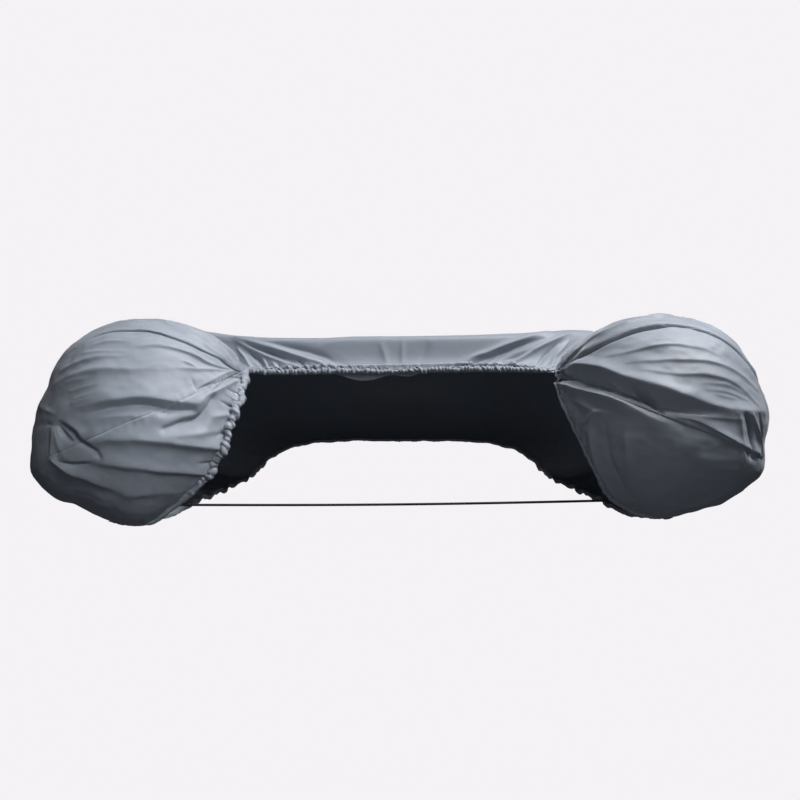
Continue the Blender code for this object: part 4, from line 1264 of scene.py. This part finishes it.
def stitches(name, rows, material):
    """Rows of stitches as one piece: each is a short spindle whose ends go into the cloth."""
    points, faces, laid_out = [], [], []
    sides = 6
    corners = sides + 2      # the spindle's ring, and its two tips
    around = np.radians(np.arange(sides) * 360 / sides)
    first = 0
    for line, normals in rows:
        distance, (line, normals) = even_line(line, [normals], STITCH_PITCH)
        middle = (line[:-1] + line[1:]) / 2
        along = unit(line[1:] - line[:-1])
        up = unit(normals[:-1])
        across = np.cross(along, up)
        ring = (middle[:, None, :] + STITCH_RADIUS * (
            np.cos(around)[None, :, None] * across[:, None, :]
            + (np.sin(around)[None, :, None] + 0.4) * up[:, None, :]))
        tips = [middle + along * STITCH_LENGTH / 2 * end - up * STITCH_RADIUS for end in (-1, 1)]
        spindle = np.concatenate([tips[0][:, None], ring, tips[1][:, None]], axis=1)
        starts = first + corners * np.arange(len(middle))
        for k in range(sides):
            here, after = 1 + k, 1 + (k + 1) % sides
            faces.append(np.stack([starts, starts + after, starts + here], axis=1))
            faces.append(np.stack([starts + corners - 1, starts + here, starts + after], axis=1))
        points.append(spindle.reshape(-1, 3))
        laid_out.append(np.stack([np.repeat(distance[:-1], corners),
                                  np.tile(np.arange(corners) / 1000, len(middle))], axis=1))
        first += corners * len(middle)
    return cloth_mesh(name, np.concatenate(points), np.concatenate(faces).tolist(),
                      np.concatenate(laid_out), material)


# ---------------------------------------------------------------- cord
def cord_end(side):
    """Beside the edge of a tube end's hem, where the drawcord comes out of it."""
    edge_plan = seam_curve(side, "hem", [CORD_HEM_SHARE[side]])
    both = np.concatenate([edge_plan, edge_plan * 0.97])
    edge, inside = tube_cloth(side, both)
    outward = (edge - inside) / np.linalg.norm(edge - inside)
    return edge + outward * (CORD_DIAMETER / 2 + CORD_CLEARANCE)


def build_cord(material):
    """The taut cord between the two tube ends' hems, hanging a little in the middle."""
    left_end = cord_end("left")
    right_end = cord_end("right")
    curve = bpy.data.curves.new("drawcord_cord", "CURVE")
    curve.dimensions = "3D"
    spline = curve.splines.new("POLY")
    spline.points.add(CORD_POINTS - 1)
    points = []
    for i in range(CORD_POINTS):
        share = i / (CORD_POINTS - 1)
        point = left_end + (right_end - left_end) * share
        point[2] -= CORD_SAG * math.sin(math.pi * share)
        points.append(to_frame(point))
        spline.points[i].co = (*points[-1], 1)
    curve.bevel_depth = CORD_DIAMETER / 2
    curve.bevel_resolution = 5
    curve.use_fill_caps = True
    curve.materials.append(material)
    return add_object("drawcord_cord", curve), np.array(points)


# ---------------------------------------------------------------- materials
class Nodes:
    """Small helpers for the nodes of one material or world."""

    def __init__(self, owner):
        owner.use_nodes = True
        self.owner = owner
        self.tree = owner.node_tree

    def node(self, kind, inputs=None, **settings):
        node = self.tree.nodes.new("ShaderNode" + kind)
        for setting, value in settings.items():
            setattr(node, setting, value)
        for socket, value in (inputs or {}).items():
            node.inputs[socket].default_value = value
        return node

    def link(self, source, target):
        self.tree.links.new(source, target)

    def math(self, operation, *values):
        node = self.node("Math", operation=operation)
        for socket, value in zip(node.inputs, values):
            if isinstance(value, (int, float)):
                socket.default_value = value
            else:
                self.link(value, socket)
        return node.outputs["Value"]


class Shading(Nodes):
    """Small helpers for the nodes of one material with a Principled shader."""

    def __init__(self, name):
        super().__init__(bpy.data.materials.new(name))
        self.shader = self.tree.nodes["Principled BSDF"]
        self.place = self.node("TexCoord").outputs["Object"]

    def noise(self, scale, detail, roughness=0.55):
        node = self.node("TexNoise", {"Scale": scale, "Detail": detail, "Roughness": roughness})
        self.link(self.place, node.inputs["Vector"])
        return node.outputs["Fac"]

    def between(self, share, low, high):
        """A number that goes from low to high as the share goes from 0.3 to 0.7."""
        node = self.node("MapRange", {"From Min": 0.3, "From Max": 0.7, "To Min": low, "To Max": high})
        self.link(share, node.inputs["Value"])
        return node.outputs["Result"]

    def colours(self, share, low, high):
        # the Mix node's sockets for colours come after those for numbers and vectors
        node = self.node("Mix", {6: (*low, 1), 7: (*high, 1)}, data_type="RGBA")
        self.link(self.between(share, 0, 1), node.inputs["Factor"])
        self.link(node.outputs[2], self.shader.inputs["Base Color"])

    def bump(self, height, distance, strength, before=None):
        node = self.node("Bump", {"Distance": distance, "Strength": strength})
        self.link(height, node.inputs["Height"])
        if before:
            self.link(before, node.inputs["Normal"])
        return node.outputs["Normal"]

    def plain(self, **values):
        for name, value in values.items():
            self.shader.inputs[name.replace("_", " ")].default_value = value


def tinted(factor, blue=0.0):
    """The cloth's grey, lighter or darker by the factor and shifted to blue by a share."""
    return tuple(channel * factor * (1 + blue * (i - 1)) for i, channel in enumerate(CLOTH_GREY))


def cloth_material():
    """Coated plain-woven polyester: a fine weave, faint crumples and a slightly uneven satin."""
    cloth = Shading("coated_cloth_blue_grey")
    cloth.plain(Specular_IOR_Level=0.42, Sheen_Weight=0.12, Sheen_Roughness=0.4)
    cloth.colours(cloth.noise(3.5, 3), tinted(0.96), tinted(1.04, 0.015))
    cloth.link(cloth.between(cloth.noise(9, 4), 0.44, 0.55), cloth.shader.inputs["Roughness"])

    # yarns that pass over and under each other, on the cloth as it is laid out flat
    laid_out = cloth.node("UVMap", uv_map="laid_out")
    yarns = cloth.node("VectorMath", {"Scale": 1 / WEAVE_PITCH}, operation="SCALE")
    cloth.link(laid_out.outputs["UV"], yarns.inputs[0])
    split = cloth.node("SeparateXYZ")
    cloth.link(yarns.outputs["Vector"], split.inputs["Vector"])
    warp, weft = (cloth.math("ABSOLUTE", cloth.math("SINE", cloth.math(
        "MULTIPLY", split.outputs[axis], math.pi))) for axis in ("X", "Y"))
    over = cloth.node("TexChecker", {"Scale": 1})
    cloth.link(yarns.outputs["Vector"], over.inputs["Vector"])
    turn = cloth.math("SUBTRACT", 1.0, over.outputs["Fac"])
    weave = cloth.math("ADD", cloth.math("MULTIPLY", warp, over.outputs["Fac"]),
                       cloth.math("MULTIPLY", weft, turn))
    crumples = cloth.bump(cloth.noise(30, 5, 0.6), 0.0020, 0.35)
    cloth.link(cloth.bump(weave, 0.00012, 0.5, crumples), cloth.shader.inputs["Normal"])
    return cloth.owner


def thread_material():
    """Spun polyester thread, a little darker than the cloth."""
    thread = Shading("sewing_thread_grey")
    thread.plain(Roughness=0.7, Specular_IOR_Level=0.3)
    thread.colours(thread.noise(900, 2), tinted(0.62), tinted(0.8))
    return thread.owner


def cord_material():
    """A black braided cord: strands that cross it in fine bands."""
    cord = Shading("black_braided_cord")
    cord.plain(Roughness=0.72, Specular_IOR_Level=0.35)
    bands = cord.node("TexWave", {"Scale": 110, "Distortion": 1.5}, wave_type="BANDS",
                      bands_direction="DIAGONAL")
    cord.link(cord.place, bands.inputs["Vector"])
    cord.colours(bands.outputs["Fac"], CORD_DARK, CORD_LIGHT)
    cord.link(cord.bump(bands.outputs["Fac"], 0.0004, 0.6), cord.shader.inputs["Normal"])
    return cord.owner


def flat_material(name, colour):
    """A surface of one even colour, which light and shadow don't change."""
    flat = Nodes(bpy.data.materials.new(name))
    flat.tree.nodes.remove(flat.tree.nodes["Principled BSDF"])
    glow = flat.node("Emission", {"Color": (*colour, 1)})
    flat.link(glow.outputs["Emission"], flat.tree.nodes["Material Output"].inputs["Surface"])
    return flat.owner


# ---------------------------------------------------------------- stage, light and camera
def stage_piece(name, material, shape, **sizes):
    """Part of the stage, which only the camera sees: it neither lights the cover nor shades it."""
    mesh = bmesh.new()
    shape(mesh, **sizes)
    data = bpy.data.meshes.new(name)
    mesh.to_mesh(data)
    mesh.free()
    data.materials.append(material)
    thing = add_object(name, data)
    thing.visible_diffuse = False
    thing.visible_glossy = False
    thing.visible_shadow = False
    return thing


def build_stage():
    """A pale floor, and a pale backdrop all round of the same colour."""
    pale = flat_material("pale_paper", BACKGROUND)
    backdrop = stage_piece("backdrop", pale, bmesh.ops.create_uvsphere, u_segments=48,
                           v_segments=24, radius=30)
    floor = stage_piece("floor", pale, bmesh.ops.create_grid, x_segments=4, y_segments=4, size=18)
    floor.location = (0, 0, -DECK_UNDERSIDE - FLOOR_GAP)


def area_light(name, location, target, size, power, colour, spread):
    light = bpy.data.lights.new(name, "AREA")
    light.shape = "RECTANGLE"
    light.size, light.size_y = size
    light.energy = power
    light.color = colour
    light.spread = math.radians(spread)
    lamp = add_object(name, light)
    lamp.location = location
    lamp.visible_camera = False
    direction = np.array(target) - np.array(location)
    lamp.rotation_euler = Vector(direction).to_track_quat("-Z", "Y").to_euler()


def build_lights():
    """The softboxes and fills, and a dim room that is a little brighter overhead."""
    for row in LIGHTS:
        area_light(*row)
    room = Nodes(bpy.data.worlds.new("soft_room"))
    split = room.node("SeparateXYZ")
    room.link(room.node("TexCoord").outputs["Generated"], split.inputs["Vector"])
    ramp = room.node("ValToRGB")
    room.link(room.math("MULTIPLY_ADD", split.outputs["Z"], 0.5, 0.5), ramp.inputs["Fac"])
    for stop, position, colour in zip(ramp.color_ramp.elements, (0.20, 0.95),
                                      (ROOM_LOW, ROOM_HIGH)):
        stop.position = position
        stop.color = (*colour, 1)
    sky = room.tree.nodes["Background"]
    room.link(ramp.outputs["Color"], sky.inputs["Color"])
    sky.inputs["Strength"].default_value = ROOM_STRENGTH
    bpy.context.scene.world = room.owner
    bpy.context.scene.view_settings.view_transform = "Standard"


def build_camera():
    """From behind the stern, at the height that shows the transom hem and the bags as they are."""
    camera = bpy.data.cameras.new("camera")
    camera.sensor_width = SENSOR_WIDTH
    camera.lens = SENSOR_WIDTH * FOCAL_PIXELS / FRAME_PIXELS
    camera.shift_y = HORIZON_PIXELS / FRAME_PIXELS
    holder = add_object("camera", camera)
    holder.location = (0, TRANSOM_Y - CAMERA_AFT, CAMERA_HEIGHT - DECK_UNDERSIDE)
    holder.rotation_euler = (math.radians(90), 0, 0)
    bpy.context.scene.camera = holder


def join(piece, node=None):
    """The piece rides on the cover's one body and in place of the solid if named."""
    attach(piece, "root")
    if node:
        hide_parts(node)


def main():
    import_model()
    cloth = cloth_material()
    black = cord_material()

    build_camera()
    cord, cord_points = build_cord(black)
    join(cord, "drawcord")

    thread = thread_material()
    deck, sewn_on = build_deck(cloth, thread)
    join(deck, "deck_panel")
    for piece in sewn_on:
        join(piece)
    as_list(sewn_on)

    for side in SIDES:
        upper = build_upper_cap(side, cloth)
        lower, roll = build_lower_cap(side, cloth)
        row = stitches("cap_stitches_" + side, [seam_stitches(side, "across")], thread)
        join(roll)
        join(row)
        for piece, node, extras in ((upper, "cap_upper_", []), (lower, "cap_lower_", [roll, row])):
            join(piece, node + side)
            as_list(extras)

    build_stage()
    build_lights()


main()
